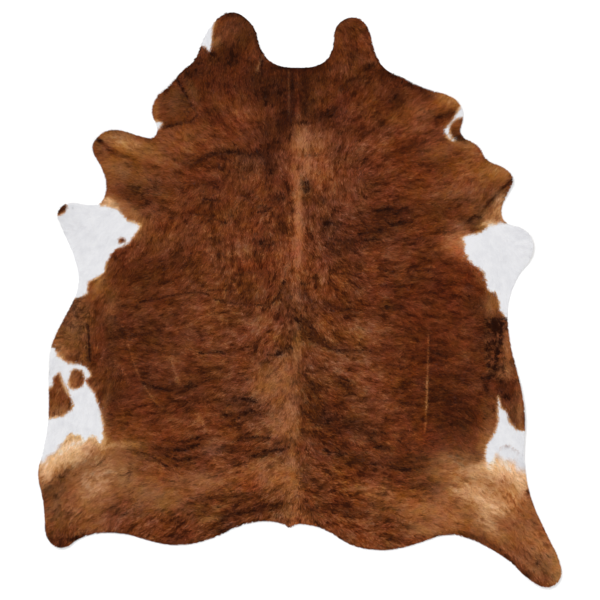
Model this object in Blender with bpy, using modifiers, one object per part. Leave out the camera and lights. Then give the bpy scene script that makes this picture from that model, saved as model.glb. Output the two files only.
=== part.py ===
"""Cowhide rug: one tanned hide with its hair on, lying flat, hair side up.

Metres, +Z up. The neck points to +Y and the tail to -Y. The origin is at the middle of the
hide's box, on the surface that it lies on.
"""
import math
from collections import namedtuple

import bmesh
import bpy
import numpy as np

# Driving dimensions
HIDE_LENGTH = 2.20          # from the ears to the longest hind foot, along Y
HIDE_WIDTH = 2.00           # from the left hind leg to the right hind foot, along X
LEATHER_THICKNESS = 0.002   # the tanned skin
COAT_THICKNESS = 0.003      # the short hair lying on it
HIDE_THICKNESS = LEATHER_THICKNESS + COAT_THICKNESS

# How finely the sheet is divided
CELL = 0.042                # side of one cell of the sheet, small beside every roll below
EDGE_STEPS = 3              # straight steps from one landmark of the edge to the next
SHEET_MARGIN = 0.03         # how far the untrimmed sheet reaches past the hide
CUTTER_HEIGHT = 0.20        # the upright edge cutter, far taller than the hide
WELD_DISTANCE = 0.00001

# The cut edge, clockwise seen from above, in one stretch after another. Each landmark is
# (across, along): its share of half the hide's width to the right of the middle, and its
# share of half the hide's length towards the neck.
EDGE = {
    "left ear": [(-0.373, 0.892), (-0.347, 0.937), (-0.307, 0.982), (-0.256, 1.000),
                 (-0.206, 0.979), (-0.168, 0.935), (-0.156, 0.888)],
    "neck": [(-0.124, 0.838), (-0.079, 0.814), (-0.007, 0.807), (0.070, 0.815), (0.112, 0.843)],
    "right ear": [(0.129, 0.885), (0.137, 0.944), (0.164, 0.971), (0.201, 0.982),
                  (0.236, 0.972), (0.263, 0.939), (0.284, 0.867)],
    "right cheek": [(0.321, 0.808), (0.394, 0.769), (0.475, 0.732), (0.563, 0.709),
                    (0.605, 0.685), (0.625, 0.634), (0.613, 0.577)],
    "right foreleg": [(0.682, 0.530), (0.714, 0.483), (0.782, 0.455), (0.813, 0.422),
                      (0.797, 0.376), (0.770, 0.307), (0.789, 0.266)],
    "right brisket": [(0.850, 0.246), (0.886, 0.214), (0.886, 0.150), (0.841, 0.090),
                      (0.802, 0.008)],
    "right flank": [(0.795, -0.067), (0.808, -0.167), (0.841, -0.287), (0.861, -0.413),
                    (0.857, -0.539)],
    "right hind leg": [(0.883, -0.686), (0.946, -0.819), (0.995, -0.917), (0.997, -0.966),
                       (0.953, -1.000), (0.880, -0.974), (0.804, -0.910), (0.709, -0.856)],
    "right rump": [(0.620, -0.822), (0.555, -0.817), (0.460, -0.845), (0.376, -0.866),
                   (0.299, -0.871), (0.200, -0.854), (0.097, -0.800)],
    "tail": [(0.036, -0.784), (-0.020, -0.783), (-0.038, -0.794), (-0.058, -0.782),
             (-0.154, -0.771), (-0.240, -0.788)],
    "left rump": [(-0.328, -0.828), (-0.468, -0.854), (-0.573, -0.839), (-0.660, -0.816),
                  (-0.753, -0.809), (-0.829, -0.823)],
    "left hind leg": [(-0.914, -0.864), (-0.966, -0.826), (-0.974, -0.767), (-0.980, -0.699),
                      (-1.000, -0.606), (-0.977, -0.520)],
    "left flank": [(-0.960, -0.420), (-0.957, -0.246), (-0.947, -0.160), (-0.889, -0.047),
                   (-0.845, 0.043), (-0.850, 0.116)],
    "left brisket": [(-0.911, 0.256), (-0.925, 0.297), (-0.894, 0.331), (-0.786, 0.326),
                     (-0.760, 0.335)],
    "left foreleg": [(-0.736, 0.401), (-0.761, 0.466), (-0.792, 0.527), (-0.772, 0.562),
                     (-0.733, 0.586), (-0.680, 0.586), (-0.599, 0.564), (-0.559, 0.561)],
    "left cheek": [(-0.543, 0.589), (-0.564, 0.652), (-0.541, 0.705), (-0.502, 0.734),
                   (-0.454, 0.789), (-0.400, 0.834)],
}

# The low rolls in which the hide lies, where leather that was stretched unevenly stands a
# little off the surface: the middle, the reach along and across the roll, the heading of
# its length from +X towards +Y, and the height at its middle. Between them the hide is flat.
Roll = namedtuple("Roll", "place x y half_length half_width heading height")
ROLLS = [
    Roll("left ear tip", -0.25, 1.12, 0.20, 0.15, 0, 0.010),
    Roll("right ear tip", 0.21, 1.10, 0.18, 0.14, 0, 0.009),
    Roll("left cheek flap", -0.50, 0.74, 0.12, 0.10, 60, 0.008),
    Roll("right cheek edge", 0.62, 0.71, 0.16, 0.11, 125, 0.006),
    Roll("left foreleg", -0.80, 0.57, 0.17, 0.14, 60, 0.009),
    Roll("right foreleg", 0.83, 0.45, 0.17, 0.13, 100, 0.009),
    Roll("left brisket", -0.93, 0.32, 0.18, 0.14, 70, 0.008),
    Roll("right brisket", 0.90, 0.20, 0.18, 0.13, 100, 0.008),
    Roll("left belly edge", -0.96, -0.22, 0.26, 0.12, 85, 0.007),
    Roll("right belly edge", 0.86, -0.42, 0.28, 0.12, 94, 0.007),
    Roll("left flank wrinkle", -0.44, -0.61, 0.20, 0.10, 14, 0.007),
    Roll("right flank wrinkle", 0.44, -0.68, 0.20, 0.10, -12, 0.007),
    Roll("left rump edge", -0.47, -0.96, 0.30, 0.12, 2, 0.007),
    Roll("right rump edge", 0.30, -0.98, 0.30, 0.12, 0, 0.007),
    Roll("left hind foot", -0.98, -0.94, 0.20, 0.17, 45, 0.011),
    Roll("right hind foot", 1.01, -1.10, 0.26, 0.18, 120, 0.012),
    Roll("neck", 0.00, 0.90, 0.18, 0.10, 0, 0.005),
]

# The sewn-up tuck in the left cheek, pressed into the coat as a narrow furrow. Its landmarks
# are shares, as those of the edge are.
TUCK = [(-0.470, 0.768), (-0.439, 0.721), (-0.415, 0.680), (-0.389, 0.641), (-0.436, 0.617)]
TUCK_WIDTH = 0.008
TUCK_DEPTH = 0.003
TUCK_SIDES = 3              # bevel resolution of the round tool that presses it

COAT_COLOUR = (0.155, 0.048, 0.016, 1.0)    # rust brown hair
COAT_ROUGHNESS = 0.55


def clear_scene():
    for thing in list(bpy.data.objects):
        bpy.data.objects.remove(thing)


def new_collection(name):
    group = bpy.data.collections.new(name)
    bpy.context.scene.collection.children.link(group)
    return group


def coat_material():
    material = bpy.data.materials.new("brown_coat")
    material.use_nodes = True
    shader = material.node_tree.nodes["Principled BSDF"]
    shader.inputs["Base Color"].default_value = COAT_COLOUR
    shader.inputs["Roughness"].default_value = COAT_ROUGHNESS
    shader.inputs["Metallic"].default_value = 0.0
    return material


def smooth_spline(data, points, closed):
    """One curve that runs smoothly through the points."""
    data.resolution_u = EDGE_STEPS
    spline = data.splines.new("BEZIER")
    spline.bezier_points.add(len(points) - 1)
    spline.use_cyclic_u = closed
    for point, place in zip(spline.bezier_points, points):
        point.co = place
        point.handle_left_type = "AUTO"
        point.handle_right_type = "AUTO"


def mesh_cutter(name, data, group):
    """The closed mesh of a curve, with its caps welded, as a hidden cutter."""
    curve = bpy.data.objects.new(name + "_curve", data)
    group.objects.link(curve)
    graph = bpy.context.evaluated_depsgraph_get()
    mesh = bpy.data.meshes.new_from_object(curve.evaluated_get(graph))
    shape = bmesh.new()
    shape.from_mesh(mesh)
    bmesh.ops.remove_doubles(shape, verts=shape.verts, dist=WELD_DISTANCE)
    bmesh.ops.recalc_face_normals(shape, faces=shape.faces)
    shape.to_mesh(mesh)
    shape.free()
    cutter = bpy.data.objects.new(name, mesh)
    cutter.matrix_world = curve.matrix_world
    cutter.hide_render = True
    cutter.display_type = "WIRE"
    group.objects.link(cutter)
    bpy.data.objects.remove(curve)
    return cutter


def edge_cutter(group):
    """The upright prism over the hide's outline: a smooth closed curve through the landmarks, filled."""
    data = bpy.data.curves.new("edge", "CURVE")
    data.dimensions = "2D"
    data.fill_mode = "BOTH"
    data.extrude = CUTTER_HEIGHT / 2
    landmarks = [place for stretch in EDGE.values() for place in stretch]
    smooth_spline(data, [at_share(across, along) for across, along in landmarks], closed=True)
    cutter = mesh_cutter("edge_cutter", data, group)
    centre_on_origin(cutter)
    return cutter


def tuck_cutter(group):
    """A round tool along the tuck, sunk into the coat to the tuck's depth."""
    radius = (TUCK_WIDTH ** 2 / 4 + TUCK_DEPTH ** 2) / (2 * TUCK_DEPTH)
    data = bpy.data.curves.new("tuck", "CURVE")
    data.dimensions = "3D"
    data.bevel_depth = radius
    data.bevel_resolution = TUCK_SIDES
    data.use_fill_caps = True
    points = []
    for across, along in TUCK:
        x, y, _ = at_share(across, along)
        underside = float(lift_at(np.array(x), np.array(y)))
        points.append((x, y, underside + HIDE_THICKNESS - TUCK_DEPTH + radius))
    smooth_spline(data, points, closed=False)
    return mesh_cutter("tuck_cutter", data, group)


def centre_on_origin(cutter):
    """Centres the outline's box on the origin, because the curve rounds the landmarks."""
    corners = np.array([vertex.co for vertex in cutter.data.vertices])
    middle = (corners.min(axis=0) + corners.max(axis=0)) / 2
    for vertex in cutter.data.vertices:
        vertex.co.x -= middle[0]
        vertex.co.y -= middle[1]


def at_share(across, along):
    """The point on the surface below at these shares of half the width and half the length."""
    return (across * HIDE_WIDTH / 2, along * HIDE_LENGTH / 2, 0.0)


def lift_at(x, y):
    """Height of the underside: each roll is a cosine bell over an ellipse, and the highest one counts."""
    highest = np.zeros_like(x)
    for roll in ROLLS:
        heading = math.radians(roll.heading)
        along = (x - roll.x) * math.cos(heading) + (y - roll.y) * math.sin(heading)
        across = (y - roll.y) * math.cos(heading) - (x - roll.x) * math.sin(heading)
        reach = np.hypot(along / roll.half_length, across / roll.half_width).clip(0, 1)
        highest = np.maximum(highest, roll.height * np.cos(reach * math.pi / 2) ** 2)
    return highest


def lying_sheet(group, material):
    """A divided sheet, raised along the rolls and given its thickness upwards."""
    width = HIDE_WIDTH + 2 * SHEET_MARGIN
    length = HIDE_LENGTH + 2 * SHEET_MARGIN
    shape = bmesh.new()
    bmesh.ops.create_grid(
        shape, x_segments=round(width / CELL), y_segments=round(length / CELL), size=0.5)
    for vertex in shape.verts:
        vertex.co.x *= width
        vertex.co.y *= length
    places = np.array([vertex.co for vertex in shape.verts])
    for vertex, height in zip(shape.verts, lift_at(places[:, 0], places[:, 1])):
        vertex.co.z = height
    mesh = bpy.data.meshes.new("hide")
    shape.to_mesh(mesh)
    shape.free()
    mesh.shade_smooth()
    mesh.materials.append(material)
    sheet = bpy.data.objects.new("hide", mesh)
    group.objects.link(sheet)
    thicken = sheet.modifiers.new("thickness", "SOLIDIFY")
    thicken.thickness = HIDE_THICKNESS
    thicken.offset = 1.0
    return sheet


def cut_with(sheet, operation, cutter):
    cut = sheet.modifiers.new(cutter.name, "BOOLEAN")
    cut.operation = operation
    cut.solver = "EXACT"
    cut.object = cutter


def main():
    clear_scene()
    rug = new_collection("cowhide_rug")
    cutters = new_collection("cutters")
    hide = lying_sheet(rug, coat_material())
    cut_with(hide, "INTERSECT", edge_cutter(cutters))
    cut_with(hide, "DIFFERENCE", tuck_cutter(cutters))


main()
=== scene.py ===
import math

import bpy
import numpy as np
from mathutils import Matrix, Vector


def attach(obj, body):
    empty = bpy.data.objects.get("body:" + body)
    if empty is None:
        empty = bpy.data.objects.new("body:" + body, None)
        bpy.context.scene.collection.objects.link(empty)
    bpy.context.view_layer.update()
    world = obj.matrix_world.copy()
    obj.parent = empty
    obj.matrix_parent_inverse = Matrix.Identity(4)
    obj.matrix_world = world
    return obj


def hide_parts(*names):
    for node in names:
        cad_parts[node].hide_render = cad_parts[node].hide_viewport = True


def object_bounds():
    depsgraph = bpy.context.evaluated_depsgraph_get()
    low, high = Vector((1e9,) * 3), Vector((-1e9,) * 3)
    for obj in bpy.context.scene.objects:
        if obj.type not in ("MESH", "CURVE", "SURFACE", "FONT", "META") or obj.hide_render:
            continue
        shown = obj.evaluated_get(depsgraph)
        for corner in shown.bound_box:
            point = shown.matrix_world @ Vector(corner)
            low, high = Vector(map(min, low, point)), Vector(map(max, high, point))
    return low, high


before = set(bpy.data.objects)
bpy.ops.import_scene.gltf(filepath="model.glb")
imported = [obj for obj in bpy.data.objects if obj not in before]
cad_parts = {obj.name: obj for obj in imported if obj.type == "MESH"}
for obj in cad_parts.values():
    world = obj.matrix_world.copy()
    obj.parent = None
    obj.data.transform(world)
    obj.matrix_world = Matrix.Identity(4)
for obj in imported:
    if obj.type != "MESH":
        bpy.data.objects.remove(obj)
cadLow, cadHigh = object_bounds()           # the solid hide's box
print("frame loaded")

# markings are placed in pixels of a straight-down view in which the hide is this many pixels long
view = dict(size=600, middleX=299.75, middleY=299.4, hideLength=575.0)
perPixel = (cadHigh.y - cadLow.y) / view["hideLength"]
noiseGrid = dict(cells=256, shift=500.37)   # cells before noise repeats, and where the hide lies on them
batchSize = 4000                        # points worked on at a time, so that the arrays stay small


# a place in the view -> metres on the hide, +Y towards the neck
def onHide(x, y):
    return np.stack([(np.asarray(x, float) - view["middleX"]) * perPixel,
                     (view["middleY"] - np.asarray(y, float)) * perPixel], -1)


# a list of places in the view -> metres on the hide
def pathOnHide(line):
    return onHide(*np.array(line, float).T)


# vectors -> the same directions with length 1
def unit(vectors):
    return vectors / np.maximum(np.linalg.norm(vectors, axis=1), 1e-9)[:, None]


# angles -> directions with length 1
def directionOf(angle):
    return np.stack([np.cos(angle), np.sin(angle)], 1)


# 0 below low, 1 above high, and a smooth S between them
def smoothStep(value, low, high):
    share = np.clip((value - low) / (high - low), 0, 1)
    return share * share * (3 - 2 * share)


# random heights from -1 to 1 on a square lattice, joined smoothly
def valueNoise(points, cell, seed):
    cells = noiseGrid["cells"]
    lattice = np.random.default_rng(seed).uniform(-1, 1, (cells, cells))
    place = points / cell + noiseGrid["shift"]
    corner = np.floor(place).astype(int)
    share = place - corner
    u, v = (share * share * (3 - 2 * share)).T
    i, j = corner.T % cells
    nextI, nextJ = (i + 1) % cells, (j + 1) % cells
    return ((lattice[i, j] * (1 - u) + lattice[nextI, j] * u) * (1 - v)
            + (lattice[i, nextJ] * (1 - u) + lattice[nextI, nextJ] * u) * v)


# the same noise with a spread of 1
def evenNoise(points, cell, seed):
    noise = valueNoise(points, cell, seed)
    return noise / noise.std()


# noises added up, each given by its cell (m), weight and seed
def layeredNoise(points, layers, noise=valueNoise):
    return sum(weight * noise(points, cell, seed) for cell, weight, seed in layers)


# every crossing of a grid's columns and rows, as pairs of x and y
def crossings(columns, rows):
    gridX, gridY = np.meshgrid(columns, rows, indexing="ij")
    return np.stack([gridX.ravel(), gridY.ravel()], 1)


# points cut up into batches of about the same size
def inBatches(points):
    return np.array_split(points, max(1, len(points) // batchSize))


# nearest place on a set of line pieces: (distance, nearest place)
def nearestOnLines(points, starts, ends):
    along = ends - starts
    lengthSquared = np.maximum((along ** 2).sum(1), 1e-12)
    distances, places = [], []
    for batch in inBatches(points):
        offset = batch[:, None] - starts[None]
        share = np.clip((offset * along).sum(2) / lengthSquared, 0, 1)
        gap = offset - share[..., None] * along
        squared = (gap ** 2).sum(2)
        best = squared.argmin(1)
        rows = np.arange(len(batch))
        distances.append(np.sqrt(squared[rows, best]))
        places.append(batch - gap[rows, best])
    return np.concatenate(distances), np.concatenate(places)


# whether each point is inside: a ray to the right of it crosses the lines an odd number of times
def insideLines(points, starts, ends):
    results = []
    for batch in inBatches(points):
        x, y = batch[:, 0:1], batch[:, 1:2]
        spans = (starts[:, 1] > y) != (ends[:, 1] > y)
        rise = np.where(ends[:, 1] == starts[:, 1], 1e-12, ends[:, 1] - starts[:, 1])
        crossing = starts[:, 0] + (y - starts[:, 1]) / rise * (ends[:, 0] - starts[:, 0])
        results.append(((spans & (x < crossing)).sum(1) % 2) == 1)
    return np.concatenate(results)


# metres from each point to a closed line, negative outside it, and the nearest place on it
def depthInLines(points, starts, ends):
    distance, place = nearestOnLines(points, starts, ends)
    return np.where(insideLines(points, starts, ends), distance, -distance), place


# metres inside the nearest of a group of outlines in view pixels, negative outside all of them
def depthInGroup(points, outlines):
    depths = []
    for outline in outlines:
        corners = pathOnHide(outline)
        depths.append(depthInLines(points, corners, np.roll(corners, -1, 0))[0])
    return np.max(depths, axis=0)


# the edges that only one face has, as pairs of vertices in that face's order
def rimEdges(faces):
    edges = np.concatenate([faces[:, [0, 1]], faces[:, [1, 2]], faces[:, [2, 0]]])
    _, place, uses = np.unique(np.sort(edges, 1), axis=0, return_index=True, return_counts=True)
    return edges[place[uses == 1]]


# the hide's outline as line pieces: the rim of those of the solid's faces that look down
def hideOutline(weldSteps=20000, lookingDown=-0.5):
    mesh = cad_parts["hide"].data
    co = np.empty(len(mesh.vertices) * 3)
    mesh.vertices.foreach_get("co", co)
    co = co.reshape(-1, 3)
    # corners within 1/weldSteps of a metre are one
    steps = np.round(co * weldSteps).astype(int)
    _, first, welded = np.unique(steps, axis=0, return_index=True, return_inverse=True)
    loops = np.empty(len(mesh.loops), int)
    mesh.loops.foreach_get("vertex_index", loops)
    faces = welded.reshape(-1)[loops.reshape(-1, 3)]
    a, b, c = co[first][faces].transpose(1, 0, 2)
    normal = np.cross(b - a, c - a)
    rim = rimEdges(faces[normal[:, 2] < lookingDown * np.linalg.norm(normal, axis=1)])
    return co[first][rim[:, 0], :2], co[first][rim[:, 1], :2]


edgeStarts, edgeEnds = hideOutline()
print("outline:", len(edgeStarts), "line pieces")


# metres from each point to the edge of the hide, negative outside, and the nearest place on the edge
def depthInHide(points):
    return depthInLines(points, edgeStarts, edgeEnds)


# square of how far each offset lies across a turned ellipse: 0 in its middle, 1 on its line
def ellipseSquare(offset, halfLength, halfWidth, heading):
    turn = math.radians(heading)
    lengthwise = (offset[:, 0] * math.cos(turn) + offset[:, 1] * math.sin(turn)) / halfLength
    crosswise = (-offset[:, 0] * math.sin(turn) + offset[:, 1] * math.cos(turn)) / halfWidth
    return lengthwise ** 2 + crosswise ** 2


# how the hide lies: the same soft rolls as the solid, placed in shares of half its width and length
hideLay = dict(
    halfWidth=1.0, halfLength=1.1,
    # across, along, half length, half width (m), heading, height (m)
    rolls=[(-0.25, 1.12, 0.20, 0.15, 0, 0.010), (0.21, 1.10, 0.18, 0.14, 0, 0.009),
           (-0.50, 0.74, 0.12, 0.10, 60, 0.008), (0.62, 0.71, 0.16, 0.11, 125, 0.006),
           (-0.80, 0.57, 0.17, 0.14, 60, 0.009), (0.83, 0.45, 0.17, 0.13, 100, 0.009),
           (-0.93, 0.32, 0.18, 0.14, 70, 0.008), (0.90, 0.20, 0.18, 0.13, 100, 0.008),
           (-0.96, -0.22, 0.26, 0.12, 85, 0.007), (0.86, -0.42, 0.28, 0.12, 94, 0.007),
           (-0.44, -0.61, 0.20, 0.10, 14, 0.007), (0.44, -0.68, 0.20, 0.10, -12, 0.007),
           (-0.47, -0.96, 0.30, 0.12, 2, 0.007), (0.30, -0.98, 0.30, 0.12, 0, 0.007),
           (-0.98, -0.94, 0.20, 0.17, 45, 0.011), (1.01, -1.10, 0.26, 0.18, 120, 0.012),
           (0.0, 0.90, 0.18, 0.10, 0, 0.005)])


# height of the hide's underside: the tallest roll at each point, each one height * cos^2 across its ellipse
def liftAt(points):
    lift = np.zeros(len(points))
    for across, along, halfLength, halfWidth, heading, height in hideLay["rolls"]:
        offset = points - np.array([across * hideLay["halfWidth"], along * hideLay["halfLength"]])
        reach = np.clip(np.sqrt(ellipseSquare(offset, halfLength, halfWidth, heading)), 0, 1)
        lift = np.maximum(lift, height * np.cos(reach * math.pi / 2) ** 2)
    return lift


# which way the hair lies
hairLay = dict(
    lattice=0.02, margin=0.06,          # the lattice's step and how far it stands past the hide (m)
    # a stroke's pull is 1 / (distance^2 + reach^2)^fallOff, in view pixels
    reach=13.0, fallOff=2.5,
    wobble=20.0,                        # degrees by which the lay wanders over a few centimetres
    wander=[(0.045, 1, 5), (0.13, 0.6, 6)],
    # view x, y, and the heading that the hair's tips point to (0 right, 90 up)
    strokes=[
        # neck, mane and spine
        (298, 72, -90), (298, 100, -90), (298, 135, -90), (298, 180, -90), (298, 220, -90),
        (298, 262, -90), (298, 300, -90), (297, 350, -88), (297, 400, -86), (296, 450, -85),
        (295, 515, -88), (278, 85, -97), (276, 130, -97), (276, 180, -98), (276, 225, -98),
        (276, 270, -100), (318, 85, -100), (322, 130, -104), (320, 180, -85), (320, 225, -83),
        (320, 270, -80),
        # left side, from the ear down
        (236, 25, -100), (236, 55, -96), (250, 75, -92), (215, 75, -105), (192, 75, -110),
        (250, 105, -80), (222, 105, -62), (170, 103, 185), (160, 114, 200), (176, 92, 160),
        (200, 122, -40), (222, 137, -42), (248, 140, -70), (180, 145, 153), (150, 145, 158),
        (120, 142, 157), (103, 150, 150), (110, 172, 172), (140, 170, 160), (170, 172, 163),
        (205, 170, 165), (235, 170, -100), (130, 192, 172), (160, 200, 170), (195, 200, -115),
        (230, 205, -104), (150, 228, -108), (190, 232, -108), (230, 240, -103), (255, 255, -104),
        (125, 222, -130), (85, 212, 178), (70, 225, 190), (95, 235, -115), (85, 265, -110),
        (120, 262, -125), (105, 290, -120), (155, 275, -150), (200, 280, -140), (240, 290, -112),
        (270, 300, -104), (70, 310, -130), (85, 335, -100), (62, 340, -150), (130, 310, -175),
        (180, 320, 181), (230, 320, 184), (265, 335, -125), (130, 350, 180), (180, 355, 181),
        (235, 360, 186), (272, 375, -128), (105, 385, -110), (70, 380, -105), (58, 405, -100),
        (85, 415, -100), (140, 395, 182), (190, 395, 184), (240, 400, 188), (275, 415, -140),
        (120, 425, 181), (170, 430, 184), (220, 435, 187), (262, 445, -158), (95, 445, -125),
        (60, 445, -118), (140, 452, 176), (172, 463, 160), (200, 455, 200), (235, 465, 190),
        (275, 475, -150), (50, 478, -132), (78, 480, -140), (115, 480, 204), (155, 490, 202),
        (200, 498, 196), (245, 500, 192), (275, 508, -140), (180, 525, 200), (140, 520, 204),
        (100, 520, 215), (70, 515, 225), (60, 536, 238),
        # right side, from the ear down
        (351, 28, -60), (351, 52, -72), (333, 75, -95), (372, 78, -118), (345, 105, 58), (375, 100, 48),
        (410, 100, 35), (445, 105, 30), (335, 130, -112), (362, 132, 45), (395, 135, 35), (425, 130, 28),
        (455, 125, 40), (340, 155, -104), (370, 160, 25), (405, 160, 14), (440, 155, 12), (470, 160, 15),
        (495, 172, 32), (505, 185, 40), (345, 185, -80), (385, 190, 6), (425, 190, 8), (460, 195, 20),
        (490, 205, 45), (350, 220, -25), (395, 218, 8), (435, 218, 10), (470, 222, 25), (345, 250, -35),
        (385, 250, -2), (430, 250, 0), (455, 245, 5), (490, 240, -60), (520, 240, -20), (510, 265, -60),
        (485, 262, -75), (345, 285, -45), (385, 285, -8), (430, 285, -5), (470, 285, -20),
        (500, 295, -85), (345, 320, -35), (385, 320, -12), (430, 320, -8), (470, 320, -8),
        (495, 330, -70), (505, 355, -75), (320, 325, -50), (320, 350, -40), (345, 355, -20),
        (385, 355, -10), (430, 355, -6), (475, 360, -8), (318, 385, -38), (350, 390, -16), (395, 390, -9),
        (440, 390, -6), (480, 395, -15), (512, 395, -85), (516, 420, -88), (318, 425, -32),
        (350, 425, -15), (395, 425, -8), (440, 425, -5), (480, 430, -30), (508, 440, -95),
        (318, 460, -30), (350, 460, -18), (385, 462, -14), (415, 470, -8), (445, 465, 2), (480, 465, -25),
        (510, 470, -50), (318, 495, -28), (355, 498, -14), (400, 500, -10), (440, 498, -18),
        (480, 495, -35), (515, 500, -58), (350, 530, -25), (390, 530, -12), (440, 525, -20),
        (485, 525, -38), (525, 535, -52), (545, 565, -55)])


# the lay on a lattice: the headings near each place, averaged as lines, then pointed as their sum points
def layLattice():
    strokes = np.array(hairLay["strokes"], float)
    places = onHide(strokes[:, 0], strokes[:, 1])
    turn = np.radians(strokes[:, 2])
    step = hairLay["lattice"]
    low = np.array([cadLow.x, cadLow.y]) - hairLay["margin"]
    size = (np.array([cadHigh.x, cadHigh.y]) + hairLay["margin"] - low) / step
    columns, rows = np.ceil(size).astype(int) + 1
    nodes = crossings(low[0] + np.arange(columns) * step, low[1] + np.arange(rows) * step)
    squared = ((nodes[:, None] - places[None]) ** 2).sum(2) / perPixel ** 2
    weight = 1 / (squared + hairLay["reach"] ** 2) ** hairLay["fallOff"]
    lineX, lineY = weight @ np.cos(2 * turn), weight @ np.sin(2 * turn)
    heading = 0.5 * np.arctan2(lineY, lineX)
    heading = heading + np.radians(hairLay["wobble"]) * layeredNoise(nodes, hairLay["wander"])
    direction = directionOf(heading)
    sense = np.stack([weight @ np.cos(turn), weight @ np.sin(turn)], 1)
    direction *= np.where((direction * sense).sum(1) < 0, -1, 1)[:, None]
    agreed = np.hypot(lineX, lineY) / weight.sum(1)
    sense = np.column_stack([sense / weight.sum(1)[:, None], agreed])
    return low, direction.reshape(columns, rows, 2), sense.reshape(columns, rows, 3)


latticeLow, layNodes, senseNodes = layLattice()


# where points lie on the lattice: their cell and their two shares of it
def latticePlace(points):
    place = (points - latticeLow) / hairLay["lattice"]
    corner = np.clip(np.floor(place).astype(int), 0, np.array(layNodes.shape[:2]) - 2)
    u, v = np.clip(place - corner, 0, 1).T[:, :, None]
    return *corner.T, u, v


# the mean of the strokes' headings (x, y), shorter where they oppose each other, and how far they agree as
# lines
def senseAt(points):
    i, j, u, v = latticePlace(points)
    return ((senseNodes[i, j] * (1 - u) + senseNodes[i + 1, j] * u) * (1 - v)
            + (senseNodes[i, j + 1] * (1 - u) + senseNodes[i + 1, j + 1] * u) * v)


# the lay at any point: the lattice's four nearest headings, turned the same way and mixed
def layAt(points):
    i, j, u, v = latticePlace(points)
    nearest = layNodes[i + (u[:, 0] > 0.5), j + (v[:, 0] > 0.5)]
    total = 0
    for neighbour, share in ((layNodes[i, j], (1 - u) * (1 - v)), (layNodes[i + 1, j], u * (1 - v)),
                             (layNodes[i, j + 1], (1 - u) * v), (layNodes[i + 1, j + 1], u * v)):
        same = np.where((neighbour * nearest).sum(1) < 0, -1, 1)[:, None]
        total = total + neighbour * same * share
    return unit(total)


# noise drawn out along the lay: its mean over a walk both ways from each point, scaled to a spread of 1
def streakNoise(points, width, length, seed, steps=7):
    total = valueNoise(points, width, seed)
    for way in (1, -1):
        place = points.copy()
        heading = layAt(place) * way
        for _ in range(steps):
            place = place + heading * length / (2 * steps)
            following = layAt(place)
            heading = following * np.where((following * heading).sum(1) < 0, -1, 1)[:, None]
            total = total + valueNoise(place, width, seed)
    return total / total.std()


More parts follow.
